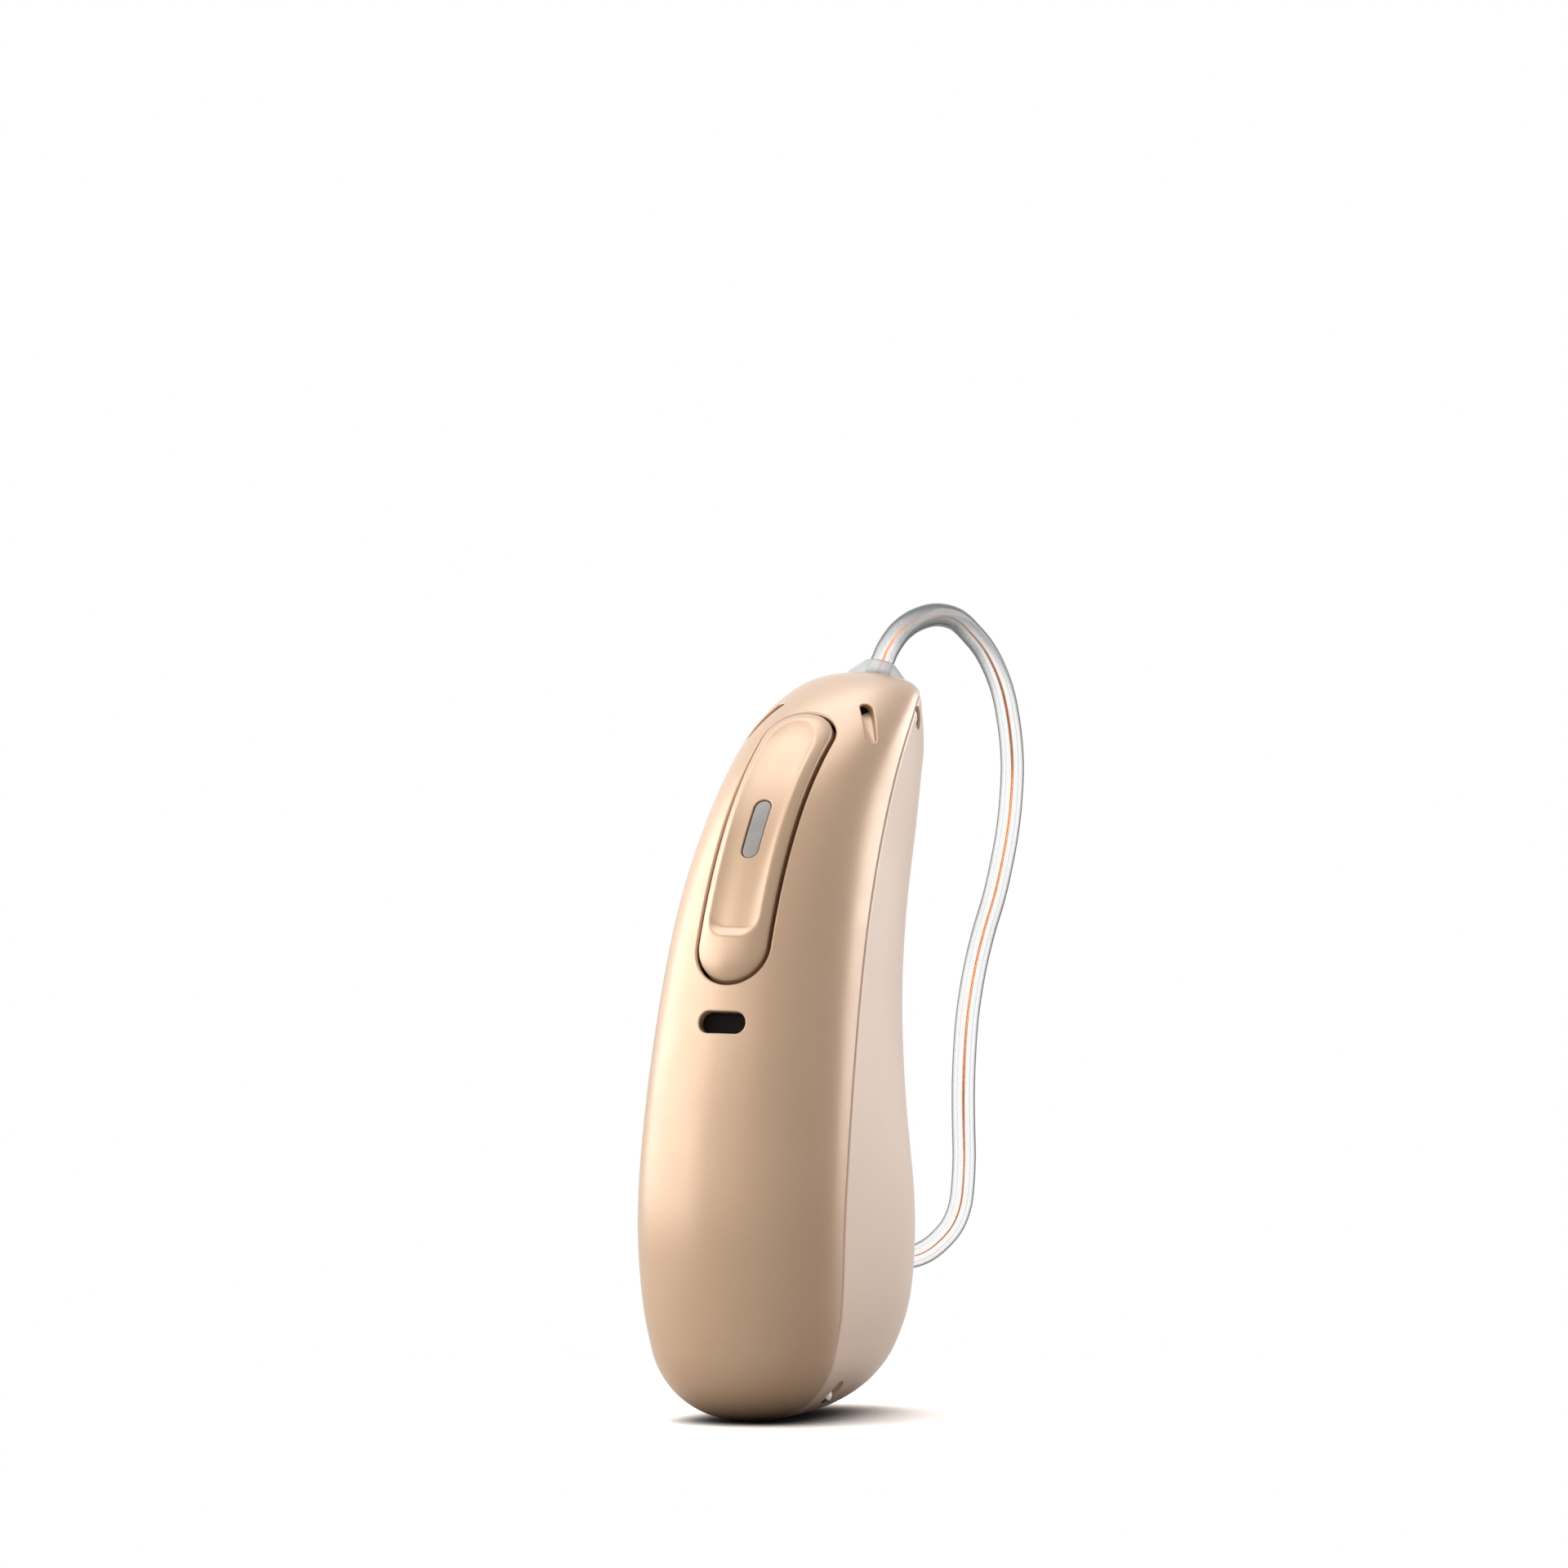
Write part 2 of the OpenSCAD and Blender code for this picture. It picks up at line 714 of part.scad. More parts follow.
module battery_pad() {
    color("#55585c") cell_frame() translate([0, 0, battery_l / 2 + tab_t])
        cylinder(d = 0.6 * battery_d, h = pad_t - tab_t, $fn = 64);
}

// Both tabs run from the cell's ends into slots in the frame, behind the board
tab_heights = [-battery_l / 2 - tab_t, battery_l / 2];

module battery_tabs() {
    color("#d2d4d6") for (i = [0, 1])
        cell_frame() translate([-tab_w / 2, -wall_reach[i], tab_heights[i]])
        cube([tab_w, wall_reach[i], tab_t]);
}

module tab_slot(z) {
    cell_frame() translate([-tab_w / 2 - fit_gap, -2 * cell_depth, z - fit_gap])
        cube([tab_w + 2 * fit_gap, 2 * cell_depth, tab_t + 2 * fit_gap]);
}

// The coil and its ferrite hang under the lower shelf
module lower_frame() {
    stand_at(inside(cell_station, cell_depth), cell_lean)
        translate([0, -0.45 * battery_d, -battery_l / 2 - tab_t - frame_t]) children();
}

module ferrite_sheet() {
    color("#3a3a3e") lower_frame() translate([0, 0, -ferrite_t])
        cylinder(d = coil_d, h = ferrite_t, $fn = 64);
}

module charging_coil() {
    color("#b8733a") lower_frame() translate([0, 0, -ferrite_t - coil_h]) difference() {
        cylinder(d = coil_d, h = coil_h, $fn = 64);
        translate([0, 0, -overrun / 2]) cylinder(d = coil_bore, h = coil_h + overrun, $fn = 64);
    }
}

// Steel cross pins
module receiver_pin() {
    color("#d5d8db") translate(receiver_pin_place) cross_rod(steel_pin_d, receiver_pin_l);
}

module housing_pin() {
    color("#d5d8db") translate(housing_pin_place) cross_rod(steel_pin_d, housing_pin_l);
}

// Plug, socket and cable
pin_lug_d = 1.45 * pin_hole_d;
pin_lug_w = 1.3 * pin_hole_d;

module tube_plug() {
    pin_at = receiver_pin_place - plug_place;
    away = -pin_at[1] * cos(plug_lean) + pin_at[2] * sin(plug_lean);
    down = pin_at[1] * sin(plug_lean) + pin_at[2] * cos(plug_lean);
    color("#e8ecee", 0.5) difference() {
        plug_frame() union() {
            cylinder(d1 = plug_d, d2 = plug_tip_d, h = plug_taper_h, $fn = 64);
            translate([0, 0, -plug_seat_h]) cylinder(d = plug_d, h = plug_seat_h, $fn = 64);
            translate([0, 0, -plug_body_l])
                cylinder(d = plug_body_d, h = plug_body_l, $fn = 64);
            translate([0, -away, down]) cross_rod(pin_lug_d, pin_lug_w);
            translate([-pin_lug_w / 2, -away, down - pin_lug_d / 2])
                cube([pin_lug_w, away, pin_lug_d]);
        }
        translate(receiver_pin_place) cross_rod(pin_hole_d, plug_d);
        solid_run([for (i = [0 : tube_exit]) route_line[i]], tube_d + 2 * fit_gap, 0, 24);
    }
}

plug_seat_h = 0.5 * plug_taper_h;
// Point of the tube's line by which it is clear of the plug
tube_exit = 10;

module plug_contacts() {
    color("#d9b24a") plug_frame() translate([0, 0, -plug_body_l - contact_h])
        for (side = [-1, 1]) translate([side * plug_body_d / 4, 0, 0])
            cylinder(d = plug_body_d / 4, h = contact_h, $fn = 32);
}

module plug_socket() {
    color("#34363a") plug_frame() translate([0, 0, -plug_body_l - contact_h - socket_wall])
        difference() {
            cylinder(d = plug_body_d + 2 * fit_gap + 2 * socket_wall, h = socket_l, $fn = 64);
            translate([0, 0, socket_wall])
                cylinder(d = plug_body_d + 2 * fit_gap, h = socket_l, $fn = 64);
            // Open on the spine side, where the plug's pin lug comes through
            translate([-pin_lug_w / 2 - fit_gap, -plug_body_l, socket_wall + contact_h])
                cube([pin_lug_w + 2 * fit_gap, plug_body_l, socket_l]);
        }
}

// The preformed tube's own route from the plug, in shares of the housing's height
route_shares = [
    [0, -0.006, -0.014], [0, 0, 0], [0, 0.006, 0.014], [0, 0.023, 0.030], [0, 0.039, 0.044],
    [0, 0.076, 0.064], [0, 0.128, 0.077], [0, 0.195, 0.081], [0, 0.262, 0.071], [0, 0.317, 0.047],
    [0, 0.369, 0.015], [0, 0.415, -0.032], [0, 0.441, -0.085], [0, 0.453, -0.142],
    [0, 0.448, -0.196], [0, 0.436, -0.240], [0, 0.416, -0.285], [0, 0.391, -0.329],
    [0, 0.359, -0.372], [0, 0.332, -0.416], [0, 0.312, -0.461], [0, 0.299, -0.505],
    [0, 0.292, -0.552], [0, 0.289, -0.596], [0, 0.290, -0.642], [0, 0.292, -0.686],
    [-0.001, 0.290, -0.726], [-0.005, 0.289, -0.756], [-0.015, 0.287, -0.782],
    [-0.032, 0.285, -0.803], [-0.054, 0.285, -0.820], [-0.077, 0.285, -0.829],
    [-0.101, 0.285, -0.830], [-0.128, 0.285, -0.830], [-0.148, 0.285, -0.830]
];
route = [for (r = route_shares) plug_place + body_h * r];
route_last = len(route) - 1;

function route_row(i) =
    i < 0 ? 2 * route[0] - route[1]
    : i > route_last ? 2 * route[route_last] - route[route_last - 1]
    : route[i];

function route_at(t) =
    let (i = min(max(floor(t), 0), route_last - 1), u = t - i)
    let (a = route_row(i - 1), b = route_row(i), c = route_row(i + 1), d = route_row(i + 2))
    (2 * b + (c - a) * u + (2 * a - 5 * b + 4 * c - d) * u * u
        + (3 * b - a - 3 * c + d) * u * u * u) / 2;

route_line = [for (t = steps(0, route_last, 2 * route_last)) route_at(t)];

function unit(v) = v / norm(v);

function along(line, i) =
    unit(line[min(i + 1, len(line) - 1)] - line[max(i - 1, 0)]);

// The side direction turns from X to Y on the straight run, where both are square to the line
ref_turn = [42, 8];

function side_ref(i) =
    let (f = min(max((i - ref_turn[0]) / ref_turn[1], 0), 1))
    unit([1 - f, f, 0]);

function tube_ring(line, i, r, shift, count) =
    let (d = along(line, i), n = unit(cross(cross(d, side_ref(i)), d)), b = cross(d, n))
    [for (k = [0 : count]) line[i] + n * (shift + r * cos(360 * k / count))
        - b * r * sin(360 * k / count)];

// A tube along the route, hollow where bore is more than 0
module hollow_run(line, d, bore, count) {
    outer = [for (i = [0 : len(line) - 1]) [for (p = tube_ring(line, i, d / 2, 0, count)) p]];
    inner = [for (i = [0 : len(line) - 1]) [for (p = tube_ring(line, i, bore / 2, 0, count)) p]];
    n = count;
    rows = len(line);
    polyhedron(
        points = concat([for (r = outer) each [for (k = [0 : n - 1]) r[k]]],
            [for (r = inner) each [for (k = [0 : n - 1]) r[k]]]),
        faces = concat(
            [
                for (i = [0 : rows - 2], k = [0 : n - 1])
                    let (a = i * n + k, b = i * n + (k + 1) % n)
                    let (c = b + n, d = a + n, m = rows * n)
                    each [[a, b, c], [a, c, d], [c + m, b + m, a + m], [d + m, c + m, a + m]]
            ],
            [
                for (k = [0 : n - 1], e = [0, 1])
                    let (i = e * (rows - 1), m = rows * n)
                    let (a = i * n + k, b = i * n + (k + 1) % n)
                    each e == 0 ? [[b, a, a + m], [b, a + m, b + m]]
                        : [[a, b, b + m], [a, b + m, a + m]]
            ]
        )
    );
}

module solid_run(line, d, shift, count) {
    rows = len(line);
    n = count;
    rings = [for (i = [0 : rows - 1]) tube_ring(line, i, d / 2, shift, n)];
    polyhedron(
        points = [for (r = rings) each [for (k = [0 : n - 1]) r[k]]],
        faces = concat(
            [
                for (i = [0 : rows - 2], k = [0 : n - 1])
                    let (a = i * n + k, b = i * n + (k + 1) % n)
                    each [[a, b, b + n], [a, b + n, a + n]]
            ],
            [for (k = [1 : n - 2]) [0, k + 1, k]],
            [for (k = [1 : n - 2]) let (m = (rows - 1) * n) [m, m + k, m + k + 1]]
        )
    );
}

module cable_tube() {
    color("#dfe6ea", 0.4) hollow_run(route_line, tube_d, tube_bore, 8);
}

module cable_wires() {
    color("#b4562a") for (side = [-1, 1])
        solid_run(route_line, wire_d, side * 0.7 * wire_d, 5);
}

// Everything at the far end is turned about one line along X, through this place
receiver_place = route[route_last] + [0.77 * boot_l, 0, 0];

module receiver_frame() {
    translate(receiver_place) rotate([0, -90, 0]) children();
}

module receiver_boot() {
    color("#d8dde0") receiver_frame() rotate_extrude($fn = 64)
        polygon([
            [tube_d / 2 + fit_gap, 0], [0.39 * boot_d, 0], [boot_d / 2, 0.75 * boot_l],
            [boot_d / 2, boot_l], [tube_d / 2 + fit_gap, boot_l]
        ]);
}

receiver_round = 0.06 * receiver_d;

// The tail's socket lies beside the boot, and what goes into it passes the boot
tail_offset = boot_d / 2 + fit_gap + tail_bore / 2;
tail_boss_d = tail_bore + 2 * receiver_wall;

module receiver_case() {
    color("#c7ccd1") receiver_frame() translate([0, 0, boot_l]) difference() {
        rotate_extrude($fn = 64) case_profile(receiver_d / 2, 0, receiver_l);
        difference() {
            rotate_extrude($fn = 64)
                case_profile(receiver_d / 2 - receiver_wall, receiver_wall,
                    receiver_l - receiver_wall);
            // Boss round the tail's socket
            translate([0, tail_offset, 0])
                cylinder(d = tail_boss_d, h = tail_depth + receiver_wall, $fn = 48);
        }
        translate([0, 0, -overrun / 2]) cylinder(d = tube_bore, h = overrun, $fn = 48);
        translate([0, 0, receiver_l - overrun / 2])
            cylinder(d = spout_d + 2 * fit_gap, h = overrun, $fn = 64);
        translate([0, tail_offset, -overrun])
            cylinder(d = tail_bore, h = tail_depth + overrun, $fn = 48);
    }
}

module case_profile(r, from, to) {
    polygon([
        [0, from], [r - receiver_round, from],
        for (a = [15 : 15 : 75])
            [r - receiver_round * (1 - sin(a)), from + receiver_round * (1 - cos(a))],
        [r, from + receiver_round], [r, to - receiver_round],
        for (a = [15 : 15 : 75])
            [r - receiver_round * (1 - cos(a)), to - receiver_round * (1 - sin(a))],
        [r - receiver_round, to], [0, to]
    ]);
}

module receiver_driver() {
    color("#9ba1a8") receiver_frame()
        translate([0, 0, boot_l + tail_depth + receiver_wall + 2 * fit_gap])
        block(0.45 * receiver_d, 0.58 * receiver_d, 0.55 * receiver_l);
}

module receiver_spout() {
    color("#d9dcdf") receiver_frame() translate([0, 0, boot_l + receiver_l - receiver_wall])
        rotate_extrude($fn = 64) polygon([
            [0.3 * spout_d, 0], [spout_d / 2, 0], [spout_d / 2, spout_l],
            [0.3 * spout_d, spout_l]
        ]);
}

module wax_guard() {
    color("#f5f5f3") receiver_frame()
        translate([0, 0, boot_l + receiver_l - receiver_wall + spout_l - 0.35 * spout_l])
        rotate_extrude($fn = 48) polygon([
            [0.15 * spout_d, 0], [0.3 * spout_d - fit_gap, 0],
            [0.3 * spout_d - fit_gap, 0.35 * spout_l], [0.45 * spout_d, 0.35 * spout_l],
            [0.45 * spout_d, 0.45 * spout_l], [0.15 * spout_d, 0.45 * spout_l]
        ]);
}

// The soft dome: a collar on the spout, and a skirt that folds back over it from its top
skirt_share = 0.6;

module ear_dome() {
    r = ear_dome_d / 2;
    w = ear_dome_wall;
    bore = spout_d / 2 + fit_gap;
    fold = bore + w;
    under = ear_dome_l - 2 * w;
    skirt = skirt_share * ear_dome_l;
    color("#e9ecee", 0.6) receiver_frame()
        translate([0, 0, boot_l + receiver_l + 2 * fit_gap]) rotate_extrude($fn = 96)
        polygon([
            [bore, 0], [fold, 0],
            for (a = [0 : 15 : 90])
                [fold + (r - w - fold) * sin(a), under - (skirt + w) * (1 - cos(a))],
            [r, under - skirt - w],
            for (a = [75 : -15 : 0])
                [bore + (r - bore) * sin(a), ear_dome_l - (skirt + 3 * w) * (1 - cos(a))]
        ]);
}

spine_cover();
inner_shell();
seam_seals();
rocker_button();
indicator_window();
rocker_pins();
switch_bodies();
switch_domes();
switch_board();
status_led();
chassis();
main_board();
sound_processor();
radio_chip();
power_chip();
antenna();
front_microphone();
rear_microphone();
microphone_gaskets();
inlet_screens();
battery_cell();
battery_tabs();
battery_pad();
charging_coil();
ferrite_sheet();
receiver_pin();
housing_pin();
tube_plug();
plug_contacts();
plug_socket();
cable_tube();
cable_wires();
receiver_boot();
receiver_case();
receiver_driver();
receiver_spout();
wax_guard();
ear_dome();
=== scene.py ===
"""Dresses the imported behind-the-ear hearing aid and sets the photograph's camera and light.

Lengths are in millimetres while a mesh is being shaped, and in metres once it is a Blender
object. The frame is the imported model's: the spine faces -Y, the head side is +Y and +Z is up.
"""

import logging
import math
from dataclasses import dataclass
from enum import Enum
from typing import Sequence, Union

import bmesh
import bpy
import numpy as np
from mathutils import Matrix, Vector


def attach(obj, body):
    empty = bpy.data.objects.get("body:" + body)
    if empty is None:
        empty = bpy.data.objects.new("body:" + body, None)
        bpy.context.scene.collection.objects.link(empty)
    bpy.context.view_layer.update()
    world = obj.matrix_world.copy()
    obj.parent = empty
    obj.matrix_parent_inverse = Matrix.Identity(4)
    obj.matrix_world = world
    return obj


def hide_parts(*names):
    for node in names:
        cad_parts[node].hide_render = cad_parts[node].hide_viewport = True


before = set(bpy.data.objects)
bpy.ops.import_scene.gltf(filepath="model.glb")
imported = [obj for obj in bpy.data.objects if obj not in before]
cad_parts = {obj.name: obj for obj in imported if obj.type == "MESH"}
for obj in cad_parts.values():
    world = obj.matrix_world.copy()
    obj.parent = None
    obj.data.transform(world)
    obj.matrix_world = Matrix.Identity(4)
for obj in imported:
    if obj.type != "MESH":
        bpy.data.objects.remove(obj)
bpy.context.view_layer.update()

log = logging.getLogger("hearing_aid")
# Rows of points, or of numbers that go with them
Points = np.ndarray
# Two numbers, such as a size or a point of an outline, and three, such as a place or a colour
Pair = tuple[float, float]
Triple = tuple[float, float, float]
MM = 0.001
# Points closer than the first are one, and faces thinner than the second are none
MERGE_MM = 2e-5
SLIVER_MM = 1e-6
# What a number is kept above, so that nothing is divided by nothing
TINY = 1e-6
# What takes part in shader maths
Operand = Union["Socket", float, tuple]
WHITE = (1.0, 1.0, 1.0)
# The span that noise mostly keeps to, and a wave node's scale for a pitch of one
NOISE_SPAN = (0.3, 0.7)
WAVE_SCALE = 0.314


class Body(Enum):
    """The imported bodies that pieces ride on."""

    HOUSING = "housing"
    ROCKER = "rocker"
    EAR_TIP = "ear_tip"


def unit(vectors: Points) -> Points:
    """Scales vectors to length one.

    Args:
        vectors: One vector, or rows of them.

    Returns:
        The unit vectors.
    """
    return vectors / np.maximum(np.linalg.norm(vectors, axis=-1, keepdims=True), 1e-12)


def darker(colour: Triple, share: float) -> Triple:
    """Keeps a share of a colour's light."""
    return tuple(share * part for part in colour)


@dataclass(frozen=True)
class Pose:
    """A local frame: an origin and three axes, in millimetres."""

    origin: Points
    axes: Points

    @classmethod
    def upright(cls, origin: Sequence[float], lean: float = 0.0) -> "Pose":
        """Makes a frame with +Z up along the seam and +Y towards the head.

        Args:
            origin: Its place.
            lean: Its lean towards the head, in degrees.

        Returns:
            The frame.
        """
        return cls(np.asarray(origin, float), np.eye(3)).turned(0, -lean)

    @classmethod
    def facing_out(cls, origin: Sequence[float], lean: float) -> "Pose":
        """Makes a frame with +Z out of the spine and +Y up along it.

        Args:
            origin: Its place.
            lean: The spine's lean towards the head there, in degrees.

        Returns:
            The frame.
        """
        return cls.upright(origin, lean).turned(0, 90)

    def turned(self, axis: int, degrees: float) -> "Pose":
        """Turns the frame about one of its own axes.

        Args:
            axis: 0, 1 or 2.
            degrees: The turn.

        Returns:
            The turned frame.
        """
        turn = np.array(Matrix.Rotation(math.radians(degrees), 3, "XYZ"[axis]))
        return Pose(self.origin, self.axes @ turn)

    def moved(self, x: float, y: float, z: float) -> "Pose":
        """Moves the frame along its own axes."""
        return Pose(self.origin + self.axes @ np.array([x, y, z], float), self.axes)

    def world(self, points: Points) -> Points:
        """Takes local points to the shared frame."""
        return np.asarray(points, float) @ self.axes.T + self.origin

    def local(self, points: Points) -> Points:
        """Takes points of the shared frame to local ones."""
        return (points - self.origin) @ self.axes


@dataclass(frozen=True)
class HousingForm:
    """The housing's skin, over stations up the seam and turns round it.

    The turn is 0 at the seam on +X, a right angle on the spine and a half turn at the other seam.
    """

    height: float = 29.8
    width: float = 9.15
    depth: float = 14.7
    wall: float = 0.7
    # How many stations the rounding of the lower end and that of the tip take up
    lower_turn: float = 1.25
    tip_turn: float = 1.1
    # The powers of the rounding of the lower end, and of the rings, on each side of the seam
    lower_power: float = 2.35
    lower_head_power: float = 3.0
    spine_power: float = 2.15
    head_power: float = 4.0
    # How much of their width the rings lose towards the head
    side_taper_share: float = 0.16
    # The seam's depth and height, its lean, the depths to the spine and the head, the half width
    seam_shares: tuple[tuple[float, ...], ...] = (
        (0.000, 0.000, 0, 0.211, 0.497, 0.765),
        (-0.024, 0.080, 0, 0.218, 0.653, 0.852),
        (-0.034, 0.154, 0, 0.225, 0.752, 0.951),
        (-0.044, 0.268, 0, 0.225, 0.776, 1.000),
        (-0.014, 0.383, 4, 0.233, 0.707, 1.000),
        (0.037, 0.492, 10, 0.245, 0.626, 0.977),
        (0.112, 0.612, 17, 0.252, 0.548, 0.940),
        (0.204, 0.718, 25, 0.245, 0.493, 0.896),
        (0.330, 0.817, 35, 0.221, 0.446, 0.835),
        (0.473, 0.904, 46, 0.158, 0.401, 0.774),
        (0.616, 0.958, 57, 0.108, 0.344, 0.688),
        (0.760, 0.9895, 66, 0.068, 0.286, 0.560),
        (0.930, 0.990, 75, 0.051, 0.242, 0.360),
    )
    # The step that slopes are taken over, and the tries and longest moves of the search in drop
    slope_step: float = 1e-3
    search_step: float = 1e-4
    search_tries: int = 25
    longest_moves: tuple[float, float] = (0.6, 0.4)

    @property
    def last(self) -> int:
        """The number of the last station."""
        return len(self.seam_shares) - 1

    def _rows(self) -> tuple[Points, Points]:
        """Works out the spline through the table.

        Returns:
            The table in millimetres, and its slopes.
        """
        units = (self.depth, self.height, 1, self.depth, self.depth, self.width / 2)
        rows = np.array(self.seam_shares) * np.array(units)
        system = np.eye(len(rows))
        right = np.empty_like(rows)
        right[0] = rows[1] - rows[0]
        right[-1] = rows[-1] - rows[-2]
        for i in range(1, len(rows) - 1):
            system[i, i - 1 : i + 2] = (1, 4, 1)
            right[i] = 3 * (rows[i + 1] - rows[i - 1])
        return rows, np.linalg.solve(system, right)

    def station(self, t: Points) -> Points:
        """The housing's sizes at stations.

        Args:
            t: The stations.

        Returns:
            One row of sizes for each station.
        """
        rows, slopes = self._rows()
        t = np.asarray(t, float)
        i = np.clip(np.floor(t).astype(int), 0, self.last - 1)
        u = (t - i)[..., None]
        start = (2 * u**3 - 3 * u**2 + 1) * rows[i] + (u**3 - 2 * u**2 + u) * slopes[i]
        end = (3 * u**2 - 2 * u**3) * rows[i + 1] + (u**3 - u**2) * slopes[i + 1]
        return start + end

    def fullness(self, t: Points, head: bool = False) -> Points:
        """How full the ring is: one along the housing, none at the two ends.

        Args:
            t: The stations.
            head: Whether it is the head side, whose lower end is fuller.

        Returns:
            The shares.
        """
        t = np.asarray(t, float)
        power = self.lower_head_power if head else self.lower_power
        lower = np.clip(1 - t / self.lower_turn, 0, 1)
        tip = np.clip(1 - (self.last - t) / self.tip_turn, 0, 1)
        return np.clip(1 - lower**power, 0, 1) ** (1 / power) * np.sqrt(np.clip(1 - tip**2, 0, 1))

    def skin(self, t: Points, turn: Points, g: Points = 0.0) -> Points:
        """Points of the skin.

        Args:
            t: Their stations.
            turn: Their turns round the ring, in radians.
            g: Their depths under the skin.

        Returns:
            The points.
        """
        t, turn, g = np.broadcast_arrays(np.asarray(t, float), turn, g)
        q, e = self.station(t), self.fullness(t)
        c, s = np.cos(turn), np.sin(turn)
        back = s >= 0
        power = np.where(back, self.spine_power, self.head_power)
        r = (np.abs(c) ** power + np.abs(s) ** power) ** (-1 / power)
        x, v = c * r, np.abs(s) * r
        d = np.where(back, v * (q[..., 3] - g) * e, -v * (q[..., 4] - g) * self.fullness(t, True))
        up = g * (1 - e) * np.where(t < self.last / 2, 1, -1)
        lean = np.radians(q[..., 2])
        taper = np.where(back, 1, 1 - self.side_taper_share * v)
        return np.stack(
            [
                x * (q[..., 5] - g) * e * taper,
                q[..., 0] - d * np.cos(lean) + up * np.sin(lean),
                q[..., 1] + d * np.sin(lean) + up * np.cos(lean),
            ],
            -1,
        )

    def normal(self, t: Points, turn: Points, g: Points = 0.0) -> Points:
        """Outward normals of the skin.

        Args:
            t: Their stations.
            turn: Their turns round the ring, in radians.
            g: Their depths under the skin.

        Returns:
            The unit normals.
        """
        step = self.slope_step
        up = self.skin(t + step, turn, g) - self.skin(t - step, turn, g)
        side = self.skin(t, turn + step, g) - self.skin(t, turn - step, g)
        return unit(np.cross(side, up)) * -1

    def turn_of(self, degrees: float) -> float:
        """Finds the turn that one of the part source's ring angles stands for.

        Args:
            degrees: The ring angle.

        Returns:
            The turn, in radians.
        """
        power = self.spine_power if degrees >= 0 else self.head_power
        v = abs(math.sin(math.radians(degrees))) ** (2 / power)
        x = abs(math.cos(math.radians(degrees))) ** (2 / power)
        return math.copysign(math.atan2(v, x), degrees)

    def inside(self, t: float, d: float) -> Points:
        """Finds a point in the middle plane.

        Args:
            t: Its station.
            d: Its depth from the seam, towards the head.

        Returns:
            The point.
        """
        q = self.station(t)
        lean = math.radians(q[2])
        return np.array([0, q[0] + d * math.cos(lean), q[1] - d * math.sin(lean)])

    def drop(
        self, pose: Pose, plan: Points, start: Pair, g: float = 0.0
    ) -> tuple[Points, Points]:
        """Finds the skin above points of a frame's plane.

        Args:
            pose: The frame, with +Z out of the skin.
            plan: The points, as rows of x and y.
            start: The station and turn to search from.
            g: The depth of the skin.

        Returns:
            The stations and turns.
        """
        t = np.full(len(plan), float(start[0]))
        turn = np.full(len(plan), float(start[1]))
        step = self.search_step

        def miss(t: Points, turn: Points) -> Points:
            """How far the skin's points are from the plan's, in the frame's plane."""
            return pose.local(self.skin(t, turn, g))[:, :2] - plan

        for _ in range(self.search_tries):
            here = miss(t, turn)
            dt = (miss(t + step, turn) - here) / step
            da = (miss(t, turn + step) - here) / step
            det = dt[:, 0] * da[:, 1] - dt[:, 1] * da[:, 0]
            det = np.where(np.abs(det) < 1e-9, 1e-9, det)
            move_t = (here[:, 0] * da[:, 1] - here[:, 1] * da[:, 0]) / det
            move_a = (dt[:, 0] * here[:, 1] - dt[:, 1] * here[:, 0]) / det
            t = t - np.clip(move_t, -self.longest_moves[0], self.longest_moves[0])
            turn = turn - np.clip(move_a, -self.longest_moves[1], self.longest_moves[1])
        return t, turn


FORM = HousingForm()
# How far the button and the rear inlet sit from the middle plane, in the photograph
SPINE_SHIFT = -0.13


class Solid:
    """A closed mesh that is shaped in millimetres and then becomes a Blender object."""

    def __init__(self, name: str) -> None:
        """Starts an empty solid.

        Args:
            name: The name that its object gets.
        """
        self.name = name
        self.points: list[Points] = []
        self.faces: list[tuple[int, ...]] = []

    def grid(self, rows: Points, wrap: bool = True, caps: bool = False) -> "Solid":
        """Adds a grid of points, whose rows are rings.

        Args:
            rows: Rings by points by three.
            wrap: Whether each ring closes on itself.
            caps: Whether the first and last rings are closed by fans.

        Returns:
            The solid itself.
        """
        base = len(self.points)
        count, across = rows.shape[:2]
        self.points.extend(rows.reshape(-1, 3))
        for i in range(count - 1):
            for j in range(across if wrap else across - 1):
                k = (j + 1) % across
                a, b = base + i * across, base + (i + 1) * across
                self.faces.append((a + j, a + k, b + k, b + j))
        if caps:
            for i, flip in ((0, True), (count - 1, False)):
                middle = len(self.points)
                self.points.append(rows[i].mean(0))
                for j in range(across):
                    a = base + i * across + j
                    b = base + i * across + (j + 1) % across
                    self.faces.append((b, a, middle) if flip else (a, b, middle))
        return self

    def mesh(self) -> bpy.types.Object:
        """Makes the object, still in millimetres, with its normals outwards.

        Returns:
            The object, in the scene.
        """
        data = bpy.data.meshes.new(self.name)
        data.from_pydata([tuple(p) for p in self.points], [], self.faces)
        made = bmesh.new()
        made.from_mesh(data)
        bmesh.ops.remove_doubles(made, verts=made.verts, dist=MERGE_MM)
        bmesh.ops.dissolve_degenerate(made, edges=made.edges, dist=SLIVER_MM)
        bmesh.ops.recalc_face_normals(made, faces=made.faces)
        made.to_mesh(data)
        made.free()
        obj = bpy.data.objects.new(self.name, data)
        bpy.context.scene.collection.objects.link(obj)
        return obj


